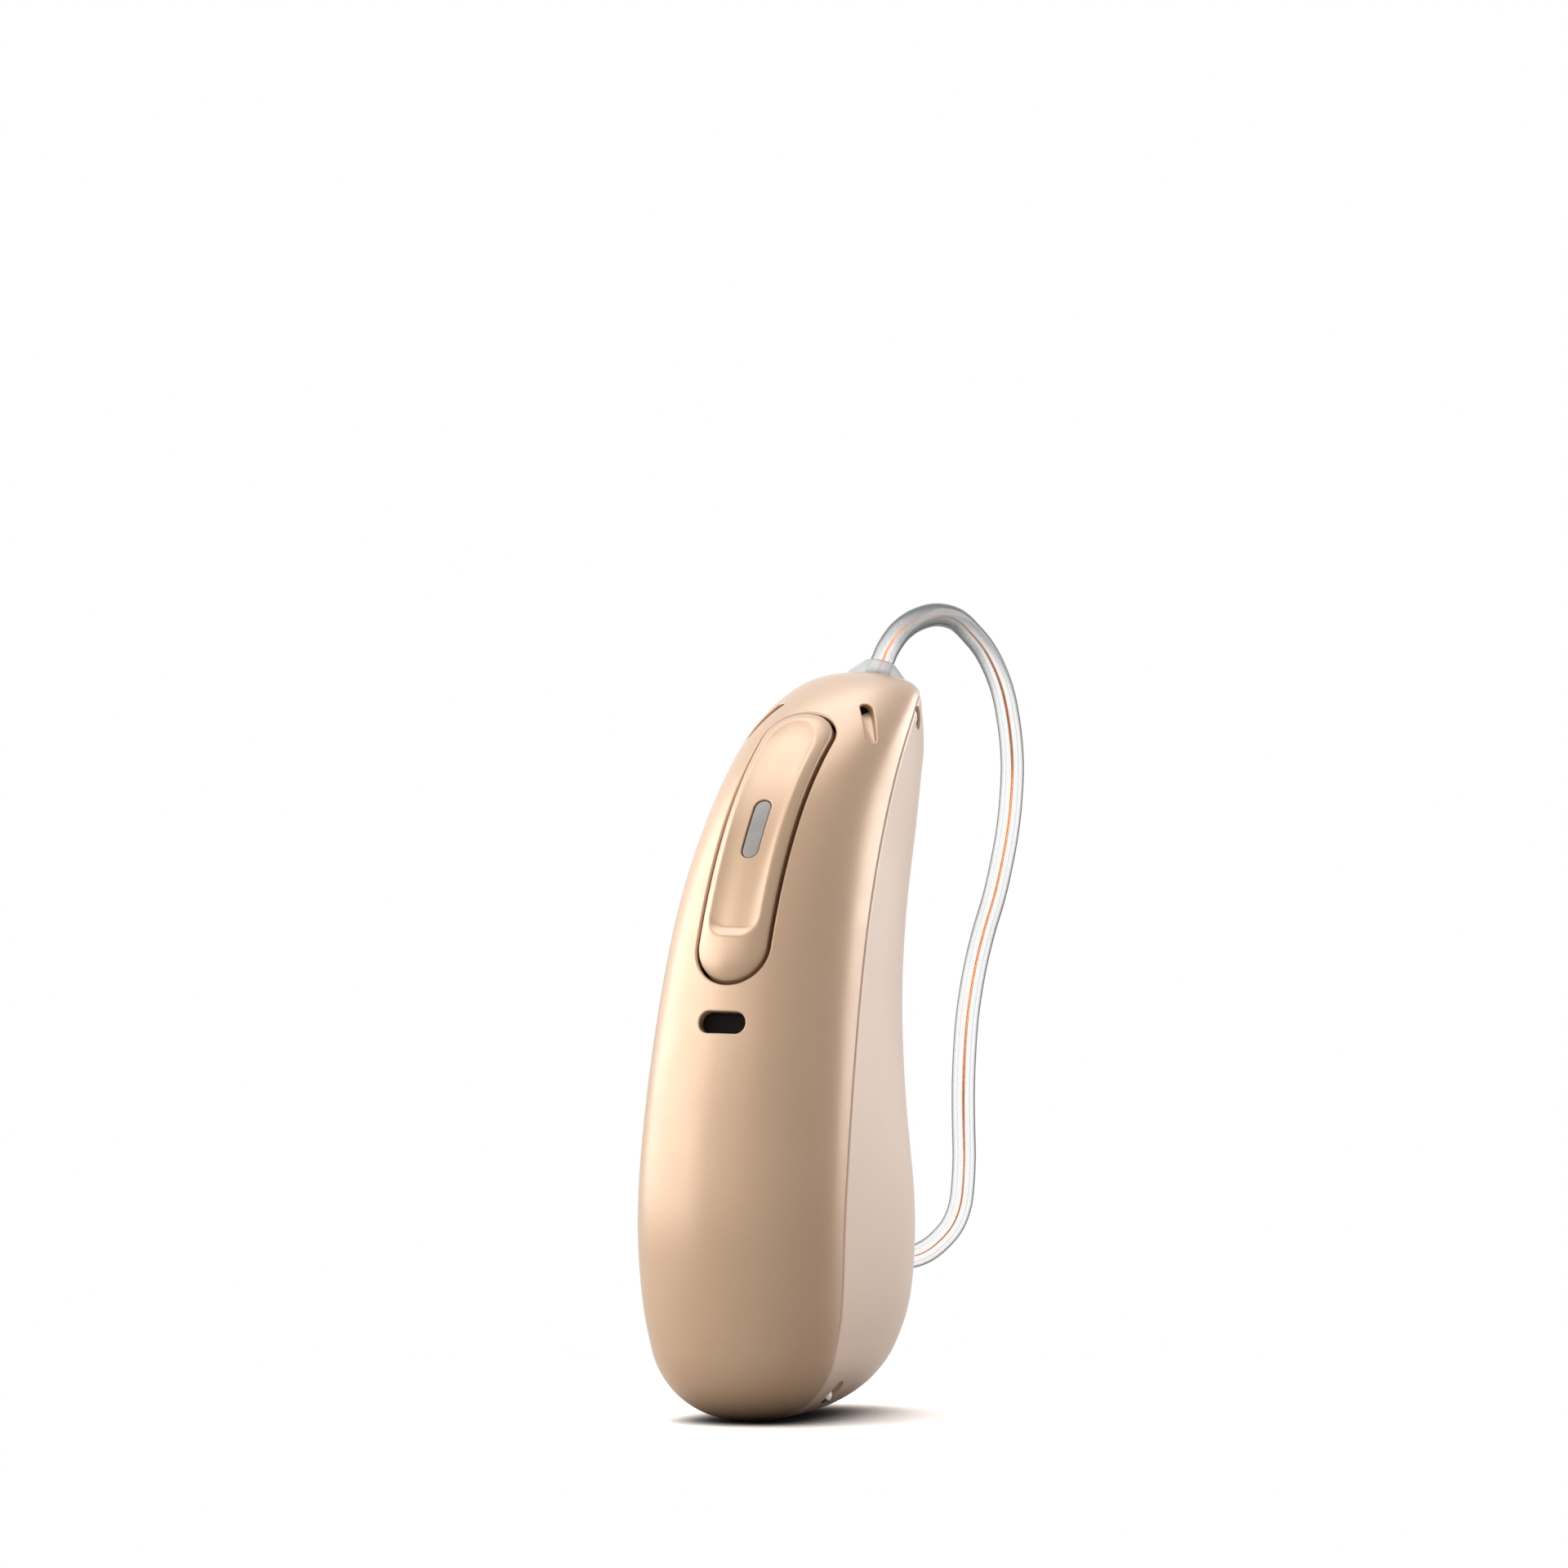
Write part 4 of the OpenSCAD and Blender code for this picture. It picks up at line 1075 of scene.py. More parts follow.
@dataclass
class Cable:
    """The clear plug, the preformed clear tube and the copper wires in it."""

    tube_d: float = 1.0
    tube_bore: float = 0.56
    # How much the drawn tube is set in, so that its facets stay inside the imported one's box
    tube_shrink: float = 0.01
    # How far the tube's bore in the plug is wider, and up to which of the route's points it runs
    tube_gap: float = 0.03
    plug_bore_to: int = 5
    wire_d: float = 0.065
    # How far each wire is from the tube's middle, in shares of its width
    wire_spread: float = 0.52
    plug_d: float = 2.75
    plug_body_d: float = 1.9
    plug_body_l: float = 3.0
    plug_taper_h: float = 0.75
    # The end of the plug's taper in shares of the tube's width, and where its collar starts
    plug_tip_share: float = 0.675
    plug_neck: float = 0.375
    plug_lean: float = 24.0
    # The plug's place, in shares of the housing's depth and height
    plug_at: Pair = (0.8395, 1.005)
    # Where the wires' plane starts to turn on the straight run, and over how many of its points
    twist_from: float = 21.0
    twist_over: float = 4.0
    # The route's points from the plug, in shares of the housing's height
    route_shares: tuple[Triple, ...] = (
        (0, -0.006, -0.014), (0, 0, 0), (0, 0.006, 0.014), (0, 0.023, 0.030), (0, 0.039, 0.044),
        (0, 0.076, 0.064), (0, 0.128, 0.077), (0, 0.195, 0.081), (0, 0.262, 0.071),
        (0, 0.317, 0.047), (0, 0.369, 0.015), (0, 0.415, -0.032), (0, 0.441, -0.085),
        (0, 0.453, -0.142), (0, 0.448, -0.196), (0, 0.436, -0.240), (0, 0.416, -0.285),
        (0, 0.391, -0.329), (0, 0.359, -0.372), (0, 0.332, -0.416), (0, 0.312, -0.461),
        (0, 0.299, -0.505), (0, 0.292, -0.552), (0, 0.289, -0.596), (0, 0.290, -0.642),
        (0, 0.292, -0.686), (-0.001, 0.290, -0.726), (-0.005, 0.289, -0.756),
        (-0.015, 0.287, -0.782), (-0.032, 0.285, -0.803), (-0.054, 0.285, -0.820),
        (-0.077, 0.285, -0.829), (-0.101, 0.285, -0.830), (-0.128, 0.285, -0.830),
        (-0.148, 0.285, -0.830),
    )

    def plug_pose(self) -> Pose:
        """The plug's frame, with +Z up its axis."""
        place = np.array([0, self.plug_at[0] * FORM.depth, self.plug_at[1] * FORM.height])
        return Pose.upright(place, self.plug_lean)

    def line(self, per_point: int = 8) -> tuple[Points, Points]:
        """The route, sampled.

        Args:
            per_point: Samples for each of its points.

        Returns:
            The samples, and the route's own count at each.
        """
        route = self.plug_pose().origin + FORM.height * np.array(self.route_shares)
        last = len(route) - 1
        rows = np.vstack([2 * route[0] - route[1], route, 2 * route[-1] - route[-2]])
        t = np.linspace(0, last, last * per_point + 1)
        i = np.clip(np.floor(t).astype(int), 0, last - 1)
        u = (t - i)[:, None]
        a, b, c, d = rows[i], rows[i + 1], rows[i + 2], rows[i + 3]
        bend = (2 * a - 5 * b + 4 * c - d) * u**2 + (3 * b - a - 3 * c + d) * u**3
        return (2 * b + (c - a) * u + bend) / 2, t

    def sides(self, line: Points, t: Points) -> tuple[Points, Points]:
        """Two directions across the route. The first turns from X to Y on the straight run.

        Args:
            line: The route's samples.
            t: The route's own count at each.

        Returns:
            The two directions, as rows of unit vectors.
        """
        along = unit(np.gradient(line, axis=0))
        f = np.clip((t - self.twist_from) / self.twist_over, 0, 1)[:, None]
        ref = unit(np.hstack([1 - f, f, np.zeros_like(f)]))
        n = unit(np.cross(np.cross(along, ref), along))
        return n, np.cross(along, n)

    def run(self, radius: float, shift: float = 0.0, count: int = 40, to: float = math.inf) -> Points:
        """Rings along the route.

        Args:
            radius: Their radius.
            shift: Their shift to the side.
            count: Points round each.
            to: The route's count at which they stop.

        Returns:
            Rings by points by three.
        """
        line, t = self.line()
        n, b = self.sides(line, t)
        turns = np.linspace(0, 2 * math.pi, count, endpoint=False)
        rings = (
            (line + shift * n)[:, None]
            + n[:, None] * (radius * np.cos(turns))[None, :, None]
            + b[:, None] * (radius * np.sin(turns))[None, :, None]
        )
        return rings[t <= to]

    def build(self, finishes: "Finishes", housing: Housing) -> None:
        """Builds the plug, the tube and its wires.

        Args:
            finishes: The materials.
            housing: The housing, for the pin that locks the plug.
        """
        outer = self.run(self.tube_d / 2 - self.tube_shrink)
        inner = self.run(self.tube_bore / 2)
        tube = Solid("cable_tube_clear").grid(np.concatenate([outer, inner[::-1], outer[:1]])).mesh()
        finish_piece(tube, Body.HOUSING, finishes.tube, ["cable_tube"], 50)
        self.line_bore(tube, finishes.bore)
        wires = Solid("cable_wires_copper")
        for side in (1, -1):
            wires.grid(self.run(self.wire_d / 2, side * self.wire_spread * self.wire_d, 12), caps=True)
        finish_piece(wires.mesh(), Body.HOUSING, finishes.copper, ["cable_wires"], 50)
        self.build_plug(finishes, housing)

    def line_bore(self, tube: bpy.types.Object, material: bpy.types.Material) -> None:
        """Gives the tube's bore its own finish.

        Args:
            tube: The finished tube.
            material: The bore's finish.
        """
        tube.data.materials.append(material)
        line = self.line(16)[0] * MM
        middle = (self.tube_d + self.tube_bore) / 4 * MM
        for face in tube.data.polygons:
            away = np.linalg.norm(line - np.array(face.center), axis=1).min()
            face.material_index = int(away < middle)

    def build_plug(self, finishes: "Finishes", housing: Housing) -> None:
        """Builds the moulded plug, bored for the tube and the pin.

        Args:
            finishes: The materials.
            housing: The housing, for the pin that locks the plug.
        """
        r, tip = self.plug_d / 2, self.plug_tip_share * self.tube_d
        body, seat = self.plug_body_d / 2, self.plug_neck
        profile = rounded(
            [
                (0, -self.plug_body_l, 0), (body, -self.plug_body_l, 0.12), (body, -seat, 0.05),
                (r, -seat, 0.1), (r, 0, 0.22), (tip, self.plug_taper_h, 0.09),
                (0, self.plug_taper_h, 0),
            ],
            8,
        )
        plug = revolve("tube_plug_clear", self.plug_pose(), profile).mesh()
        rings = self.run(self.tube_d / 2 + self.tube_gap, to=self.plug_bore_to)
        pin = housing.cross_pose(housing.pin_places()["receiver_pin"])
        lock = plain_bore("lock", pin, housing.pin_hole_d / 2, -2, 2, 48)
        carve(plug, [Solid("bore").grid(rings, caps=True), lock])
        finish_piece(plug, Body.HOUSING, finishes.plug, ["tube_plug"], 30)


@dataclass
class Receiver:
    """The receiver in its metal case, its boot, its spout, its wax guard and the soft dome."""

    boot_l: float = 1.9
    boot_d: float = 1.7
    # The share of the boot's length past the tube's end, and its neck in shares of its width
    boot_past: float = 0.77
    boot_neck: float = 0.39
    # The boot's ribs, their first place and pitch in shares of its length, and their steps
    ribs: int = 3
    rib_from: float = 0.22
    rib_pitch: float = 0.2
    rib_step: float = 0.05
    case_d: float = 3.6
    case_l: float = 6.0
    case_wall: float = 0.3
    spout_d: float = 1.5
    spout_l: float = 2.2
    dome_d: float = 6.4
    dome_l: float = 3.4
    dome_wall: float = 0.35
    tail_bore: float = 0.7
    tail_depth: float = 1.2
    case_round: float = 0.216
    lead_r: float = 0.28
    # How much wider a bore is than what sits in it
    gap: float = 0.03
    # How far the dome's foot stands off the case
    dome_gap: float = 0.06

    def pose(self, cable: Cable) -> Pose:
        """The frame of the far end, with +Z away from the tube."""
        line, _ = cable.line()
        return Pose(line[-1] + np.array([self.boot_past * self.boot_l, 0, 0]), np.eye(3)).turned(1, -90)

    def build(self, finishes: "Finishes", cable: Cable) -> None:
        """Builds every piece at the far end.

        Args:
            finishes: The materials.
            cable: The cable that ends here.
        """
        pose = self.pose(cable)
        self.build_boot(finishes, pose, cable)
        self.build_case(finishes, pose.moved(0, 0, self.boot_l))
        self.build_tip(finishes, pose)

    def build_boot(self, finishes: "Finishes", pose: Pose, cable: Cable) -> None:
        """Builds the boot with its ribs.

        Args:
            finishes: The materials.
            pose: The frame of the far end.
            cable: The cable that ends here.
        """
        r, bore, length = self.boot_d / 2, cable.tube_d / 2 + self.gap, self.boot_l
        neck, step = self.boot_neck * self.boot_d, self.rib_step
        corners = [(bore, 0, 0.02), (neck, 0, 0.08)]
        for i in range(self.ribs):
            z = (self.rib_from + self.rib_pitch * i) * length
            top, foot = neck + step * i, neck - step + step * i
            corners += [(top, z, 0.03), (foot, z + 0.06, 0.02), (foot, z + 0.16, 0.02),
                        (top, z + 0.22, 0.03)]
        corners += [(r, 0.9 * length, 0.05), (r, length, 0), (bore, length, 0)]
        boot = revolve("receiver_boot_moulded", pose, rounded(corners, 3), 72).mesh()
        finish_piece(boot, Body.HOUSING, finishes.silicone, ["receiver_boot"], 30)

    def build_case(self, finishes: "Finishes", case: Pose) -> None:
        """Builds the hollow case with its groove and its tail socket.

        Args:
            finishes: The materials.
            case: The frame of the case's tail.
        """
        r, wall, l, rim = self.case_d / 2, self.case_wall, self.case_l, self.case_round
        groove, half_w, deep = 0.5 * l, 0.06, 0.05
        outline = rounded(
            [
                (0, 0, 0), (r, 0, rim), (r, groove - half_w, 0.03), (r - deep, groove, 0.02),
                (r, groove + half_w, 0.03), (r, l, rim), (0, l, 0),
            ]
        )
        shell = revolve("receiver_case_metal", case, outline).mesh()
        tail = case.moved(0, self.boot_d / 2 + self.gap + self.tail_bore / 2, 0)
        carve(
            shell,
            [
                plain_bore("hollow", case, r - wall, self.tail_depth + 2 * wall, l - wall, 72),
                plain_bore("mouth", case, self.spout_d / 2 + self.gap, l - 2 * wall, l + 1),
                plain_bore("socket", tail, self.tail_bore / 2, -1, self.tail_depth, 48),
                plain_bore("lead", case, self.lead_r, -1, self.tail_depth + 1, 48),
            ],
        )
        finish_piece(
            shell, Body.HOUSING, finishes.receiver, ["receiver_case"], 30
        )

    def build_tip(self, finishes: "Finishes", pose: Pose) -> None:
        """Builds the spout, the wax guard and the dome with its folded skirt.

        Args:
            finishes: The materials.
            pose: The frame of the far end.
        """
        start = self.boot_l + self.case_l - self.case_wall
        r, hole, length = self.spout_d / 2, 0.3 * self.spout_d, self.spout_l
        neck = r - 0.08
        spout = rounded(
            [
                (hole, 0, 0), (r, 0, 0), (r, 0.62 * length, 0.03), (neck, 0.68 * length, 0.03),
                (neck, 0.78 * length, 0.03), (r, 0.84 * length, 0.03), (r, length, 0.08),
                (hole, length, 0.04),
            ],
            4,
        )
        piece = revolve("receiver_spout_metal", pose.moved(0, 0, start), spout, 72).mesh()
        finish_piece(
            piece, Body.HOUSING, finishes.receiver, ["receiver_spout"], 30
        )
        at = start + 0.65 * length
        bore, plug, flange = (share * self.spout_d for share in (0.15, 0.27, 0.45))
        low, high = 0.35 * length, 0.45 * length
        guard = rounded(
            [
                (bore, 0, 0.02), (plug, 0, 0.03), (plug, low, 0.02), (flange, low, 0.03),
                (flange, high, 0.06), (bore, high, 0.04),
            ],
            4,
        )
        piece = revolve("wax_guard_moulded", pose.moved(0, 0, at), guard, 64).mesh()
        finish_piece(piece, Body.HOUSING, finishes.white, ["wax_guard"], 30)
        foot = pose.moved(0, 0, self.boot_l + self.case_l + self.dome_gap)
        dome = revolve("ear_dome_soft", foot, self.dome_profile()).mesh()
        finish_piece(dome, Body.EAR_TIP, finishes.silicone, ["ear_dome"], 50)

    def dome_profile(self) -> list[Pair]:
        """Draws the dome: a collar, and a skirt that folds back over it from the top.

        Returns:
            The profile's points, as radius and height.
        """
        r, w = self.dome_d / 2, self.dome_wall
        bore = self.spout_d / 2 + self.gap
        fold, under, skirt = bore + w, self.dome_l - 2 * w, 0.6 * self.dome_l
        turns = np.radians(np.linspace(0, 90, 25))
        inner = [
            (fold + (r - w - fold) * math.sin(a), under - (skirt + w) * (1 - math.cos(a)))
            for a in turns
        ]
        outer = [
            (bore + (r - bore) * math.sin(a), self.dome_l - (skirt + 3 * w) * (1 - math.cos(a)))
            for a in reversed(turns)
        ]
        lip = (r - 0.5 * w, under - skirt - 1.3 * w)
        return [(bore, 0), (fold, 0), *inner, lip, *outer]


class Socket:
    """A shader value that takes part in sums, products and mixes."""

    def __init__(self, graph: "Graph", output: bpy.types.NodeSocket) -> None:
        """Wraps a node's output.

        Args:
            graph: The graph that the node stands in.
            output: The output.
        """
        self.graph = graph
        self.output = output

    @property
    def is_number(self) -> bool:
        """Whether it is one number and not a colour or vector."""
        return self.output.type in {"VALUE", "INT"}

    def __add__(self, other: Operand) -> "Socket":
        """This value with another one added."""
        return self.graph.combine("ADD", self, other)

    def __radd__(self, other: Operand) -> "Socket":
        """Another value with this one added."""
        return self.graph.combine("ADD", other, self)

    def __sub__(self, other: Operand) -> "Socket":
        """This value less another one."""
        return self.graph.combine("SUBTRACT", self, other)

    def __rsub__(self, other: Operand) -> "Socket":
        """Another value less this one."""
        return self.graph.combine("SUBTRACT", other, self)

    def __mul__(self, other: Operand) -> "Socket":
        """This value times another one."""
        return self.graph.combine("MULTIPLY", self, other)

    def __rmul__(self, other: Operand) -> "Socket":
        """Another value times this one."""
        return self.graph.combine("MULTIPLY", other, self)

    def larger(self, other: Operand) -> "Socket":
        """The larger of this value and another one."""
        return self.graph.combine("MAXIMUM", self, other)

    def ramp(self, low: float, high: float, start: float = 0.0, end: float = 1.0) -> "Socket":
        """Takes a span of values to another one, smoothly and clamped.

        Args:
            low: The low end of the span that is taken.
            high: Its high end.
            start: What the low end becomes.
            end: What the high end becomes.

        Returns:
            The new value.
        """
        return self.graph.add(
            "ShaderNodeMapRange", {"interpolation_type": "SMOOTHSTEP"},
            {"Value": self, "From Min": low, "From Max": high, "To Min": start, "To Max": end},
        )

    def blend(self, first: Operand, second: Operand) -> "Socket":
        """Mixes two colours by this value.

        Args:
            first: The colour where this value is 0.
            second: The colour where it is 1.

        Returns:
            The mixed colour.
        """
        return self.graph.add(
            "ShaderNodeMix", {"data_type": "RGBA", "blend_type": "MIX"},
            {"Factor": self, "A": first, "B": second}, "Result",
        )


class Graph:
    """The node tree of a material or a world, with one method that makes every node."""

    def __init__(self, owner: bpy.types.Material | bpy.types.World) -> None:
        """Clears the owner's node tree.

        Args:
            owner: The material or world.
        """
        self.owner = owner
        owner.use_nodes = True
        self.tree = owner.node_tree
        self.tree.nodes.clear()

    @staticmethod
    def pick(sockets: Sequence[bpy.types.NodeSocket], key: str | int) -> bpy.types.NodeSocket:
        """Finds one of a node's live sockets.

        Args:
            sockets: The node's inputs or outputs.
            key: The socket's name, or its number among the live ones.

        Returns:
            The socket.
        """
        live = [socket for socket in sockets if socket.enabled]
        return live[key] if isinstance(key, int) else next(s for s in live if s.name == key)

    def node(self, kind: str, settings: dict, values: dict) -> bpy.types.Node:
        """Makes a node.

        Args:
            kind: Its type.
            settings: Its properties, which are set first because its sockets follow them.
            values: What its sockets hold or are linked to, by the sockets' names or numbers.

        Returns:
            The node.
        """
        node = self.tree.nodes.new(kind)
        for key, value in settings.items():
            setattr(node, key, value)
        for key, value in values.items():
            socket = self.pick(node.inputs, key)
            if isinstance(value, Socket):
                self.tree.links.new(value.output, socket)
            elif socket.type == "RGBA" and len(value) == 3:
                socket.default_value = (*value, 1.0)
            else:
                socket.default_value = value
        return node

    def add(self, kind: str, settings: dict, values: dict, output: str | int = 0) -> Socket:
        """Makes a node and wraps one of its outputs.

        Args:
            kind: The node's type.
            settings: Its properties.
            values: What its sockets hold or are linked to.
            output: The name or number of the output that is wanted.

        Returns:
            The output, wrapped.
        """
        return Socket(self, self.pick(self.node(kind, settings, values).outputs, output))

    def end(self, kind: str, shader: Socket) -> bpy.types.Material | bpy.types.World:
        """Ends the tree with a shader.

        Args:
            kind: The type of the tree's output node.
            shader: The shader.

        Returns:
            The material or world that the tree belongs to.
        """
        self.node(kind, {}, {"Surface": shader})
        return self.owner

    def combine(self, operation: str, first: Operand, second: Operand) -> Socket:
        """Combines two values, at least one of which is a socket.

        Args:
            operation: The Math or Vector Math node's operation.
            first: The first value.
            second: The second value.

        Returns:
            A number if both are numbers, and otherwise a colour or vector.
        """
        pair = (first, second)
        if all(v.is_number if isinstance(v, Socket) else not isinstance(v, tuple) for v in pair):
            return self.add("ShaderNodeMath", {"operation": operation}, dict(enumerate(pair)))
        spread = [(v, v, v) if isinstance(v, (int, float)) else v for v in pair]
        return self.add("ShaderNodeVectorMath", {"operation": operation}, dict(enumerate(spread)))

    def place(self) -> Socket:
        """The point on the object, in metres."""
        return self.add("ShaderNodeTexCoord", {}, {}, "Object")

    def ray(self, kind: str) -> Socket:
        """Whether the ray that looks is of a kind."""
        return self.add("ShaderNodeLightPath", {}, {}, kind)

    def noise(self, size_mm: float, detail: float = 2.0, stretch: Triple = (1.0, 1.0, 1.0)) -> Socket:
        """Makes noise on the object.

        Args:
            size_mm: The size of its features, in millimetres.
            detail: How many finer layers it has.
            stretch: How much closer together the features are along each axis.

        Returns:
            The noise, mostly inside NOISE_SPAN.
        """
        return self.add(
            "ShaderNodeTexNoise", {"noise_dimensions": "3D"},
            {"Vector": self.place() * stretch, "Scale": 1 / (size_mm * MM), "Detail": detail,
             "Roughness": 0.5},
        )

    def cells(self, size_mm: float) -> Socket:
        """Makes cells on the object, each in a colour of its own.

        Args:
            size_mm: Their size, in millimetres.

        Returns:
            The colours.
        """
        return self.add(
            "ShaderNodeTexVoronoi", {"feature": "F1"},
            {"Vector": self.place(), "Scale": 1 / (size_mm * MM)}, "Color",
        )

    def waves(self, direction: str, pitch_mm: float, distortion: float = 0.0) -> Socket:
        """Makes even waves on the object.

        Args:
            direction: The axis that they follow one another along.
            pitch_mm: Their pitch, in millimetres.
            distortion: How much they waver.

        Returns:
            The waves, from 0 to 1.
        """
        return self.add(
            "ShaderNodeTexWave", {"wave_type": "BANDS", "bands_direction": direction},
            {"Vector": self.place(), "Scale": WAVE_SCALE / (pitch_mm * MM),
             "Distortion": distortion},
            "Fac",
        )

    def bump(self, height: Socket, depth_mm: float, strength: float = 1.0) -> Socket:
        """Makes a normal that a height moves.

        Args:
            height: The height, from 0 to 1.
            depth_mm: What a height of 1 stands for, in millimetres.
            strength: The share of it that is used.

        Returns:
            The normal.
        """
        return self.add(
            "ShaderNodeBump", {},
            {"Strength": strength, "Distance": depth_mm * MM, "Height": height},
        )

    def principled(self, **values: Operand) -> Socket:
        """Makes the main shader. Underscores in the names stand for spaces."""
        named = {key.replace("_", " "): value for key, value in values.items()}
        return self.add("ShaderNodeBsdfPrincipled", {}, named)


@dataclass(frozen=True)
class Finish:
    """What every finish has: a name, and a shader that it builds in a graph."""

    name: str

    def shader(self, g: Graph) -> Socket:
        """Builds the finish's shader."""
        raise NotImplementedError

    def make(self) -> bpy.types.Material:
        """Makes the material."""
        g = Graph(bpy.data.materials.new(self.name))
        return g.end("ShaderNodeOutputMaterial", self.shader(g))


@dataclass(frozen=True)
class PearlLacquer(Finish):
    """A satin lacquer with a fine pearl in it, clouded towards a deeper colour."""

    colour: Triple
    deep: Triple
    metallic: float = 0.25
    roughness: float = 0.38
    coat: float = 0.75
    coat_roughness: float = 0.28
    flake_mm: float = 0.035

    def shader(self, g: Graph) -> Socket:
        """Builds the lacquer.

        Args:
            g: The graph.

        Returns:
            The shader.
        """
        flake = g.cells(self.flake_mm)
        grain = g.noise(0.09).ramp(*NOISE_SPAN)
        cloud = g.noise(4.0, 3).ramp(*NOISE_SPAN)
        low, high = self.roughness - 0.03, self.roughness + 0.04
        return g.principled(
            Base_Color=(cloud * 0.35 + grain * 0.25).blend(self.colour, self.deep),
            Metallic=self.metallic,
            Roughness=g.noise(1.5, 3).ramp(*NOISE_SPAN, low, high),
            Coat_Weight=self.coat,
            Coat_Roughness=self.coat_roughness,
            Normal=g.bump(g.noise(0.12) * 0.7 + flake * 0.3, 0.002, 0.5),
        )


@dataclass(frozen=True)
class Metal(Finish):
    """A bare metal with fine marks from its making."""

    colour: Triple
    roughness: float = 0.25
    stretch: Triple = (1.0, 8.0, 8.0)

    def shader(self, g: Graph) -> Socket:
        """Builds the metal.

        Args:
            g: The graph.

        Returns:
            The shader.
        """
        marks = g.noise(0.2, 3, self.stretch)
        low, high = self.roughness - 0.06, self.roughness + 0.08
        return g.principled(
            Base_Color=marks.ramp(0.35, 0.7).blend(self.colour, darker(self.colour, 0.8)),
            Metallic=1.0,
            Roughness=g.noise(0.5, 3).ramp(*NOISE_SPAN, low, high),
            Normal=g.bump(marks, 0.003, 0.4),
        )


@dataclass(frozen=True)
class Moulded(Finish):
    """A moulded plastic or rubber with a fine spark grain."""

    colour: Triple
    roughness: float = 0.5
    grain_mm: float = 0.06
    depth_mm: float = 0.004
    scatter: float = 0.0

    def shader(self, g: Graph) -> Socket:
        """Builds the plastic.

        Args:
            g: The graph.

        Returns:
            The shader.
        """
        grain = g.noise(self.grain_mm)
        cloud = g.noise(1.2, 3).ramp(*NOISE_SPAN)
        low, high = self.roughness - 0.05, self.roughness + 0.06
        return g.principled(
            Base_Color=cloud.blend(self.colour, darker(self.colour, 0.85)),
            Roughness=grain.ramp(*NOISE_SPAN, low, high),
            Subsurface_Weight=self.scatter,
            Subsurface_Scale=0.5 * MM,
            Normal=g.bump(grain, self.depth_mm, 0.6),
        )


@dataclass(frozen=True)
class SoftClear(Finish):
    """A clear soft polymer that is more or less milky."""

    colour: Triple
    clearness: float
    roughness: float
    refraction: float
    scatter: float

    def shader(self, g: Graph) -> Socket:
        """Builds the polymer.

        Args:
            g: The graph.

        Returns:
            The shader.
        """
        flow = g.noise(0.5, 3, (1.0, 1.0, 0.3))
        return g.principled(
            Base_Color=flow.ramp(*NOISE_SPAN).blend(self.colour, darker(self.colour, 0.97)),
            Roughness=flow.ramp(0.3, 0.75, self.roughness, self.roughness + 0.05),
            IOR=self.refraction,
            Transmission_Weight=self.clearness,
            Subsurface_Weight=self.scatter,
            Subsurface_Scale=0.6 * MM,
            Normal=g.bump(flow, 0.006, 0.25),
        )


@dataclass(frozen=True)
class ClearWall(Finish):
    """A thin clear wall, seen through face on and closing up towards its edges, whose edge colour is
    painted shade and reflection of the darker surround.

    The span is where, from face on to edge on, the colour goes over to the painted edge shade and the
    wall's cover from the first share to the second.
    """

    colour: Triple
    painted_edge_shade: Triple
    cover: Pair
    roughness: float = 0.08
    span: Pair = (0.3, 0.8)
    refraction: float = 1.2

    def shader(self, g: Graph) -> Socket:
        """Builds the wall.

        Args:
            g: The graph.

        Returns:
            The shader.
        """
        flow = g.noise(0.8, 2, (1.0, 1.0, 0.25)).ramp(*NOISE_SPAN)
        facing = g.add("ShaderNodeLayerWeight", {}, {"Blend": 0.5}, "Facing")
        return g.principled(
            Base_Color=facing.ramp(*self.span).blend(self.colour, self.painted_edge_shade),
            Roughness=flow.ramp(0, 1, self.roughness, self.roughness + 0.06),
            Alpha=facing.ramp(*self.span, *self.cover),
            IOR=self.refraction,
        )


@dataclass(frozen=True)
class Woven(Finish):
    """A fine woven screen, with painted shade in its holes."""

    colour: Triple
    holes: Triple = (0.004, 0.003, 0.003)
    pitch_mm: float = 0.08

    def shader(self, g: Graph) -> Socket:
        """Builds the screen.

        Args:
            g: The graph.

        Returns:
            The shader.
        """
        # The holes' colour is painted shade, where the dark space behind the weave shows.
        weave = g.waves("X", self.pitch_mm).larger(g.waves("Z", self.pitch_mm))
        return g.principled(
            Base_Color=weave.ramp(0.35, 0.8).blend(self.holes, self.colour),
            Roughness=weave.ramp(0, 1, 0.8, 0.6),
            Specular_IOR_Level=0.1,
            Normal=g.bump(weave, 0.03, 0.8),
        )


@dataclass(frozen=True)
class Laminate(Finish):
    """A circuit board's solder mask over its copper tracks."""

    mask: Triple = (0.012, 0.07, 0.035)
    track: Triple = (0.03, 0.13, 0.06)

    def shader(self, g: Graph) -> Socket:
        """Builds the board.

        Args:
            g: The graph.

        Returns:
            The shader.
        """
        tracks = g.add(
            "ShaderNodeTexBrick", {"offset": 0.5},
            {"Vector": g.place(), "Scale": 1600.0, "Color1": WHITE, "Color2": (0.7, 0.7, 0.7),
             "Mortar": (0, 0, 0), "Mortar Size": 0.06},
            "Fac",
        )
        return g.principled(
            Base_Color=tracks.ramp(0.2, 0.6).blend(self.mask, self.track),
            Roughness=0.35,
            Coat_Weight=0.4,
            Normal=g.bump(tracks, 0.01, 0.5),
        )


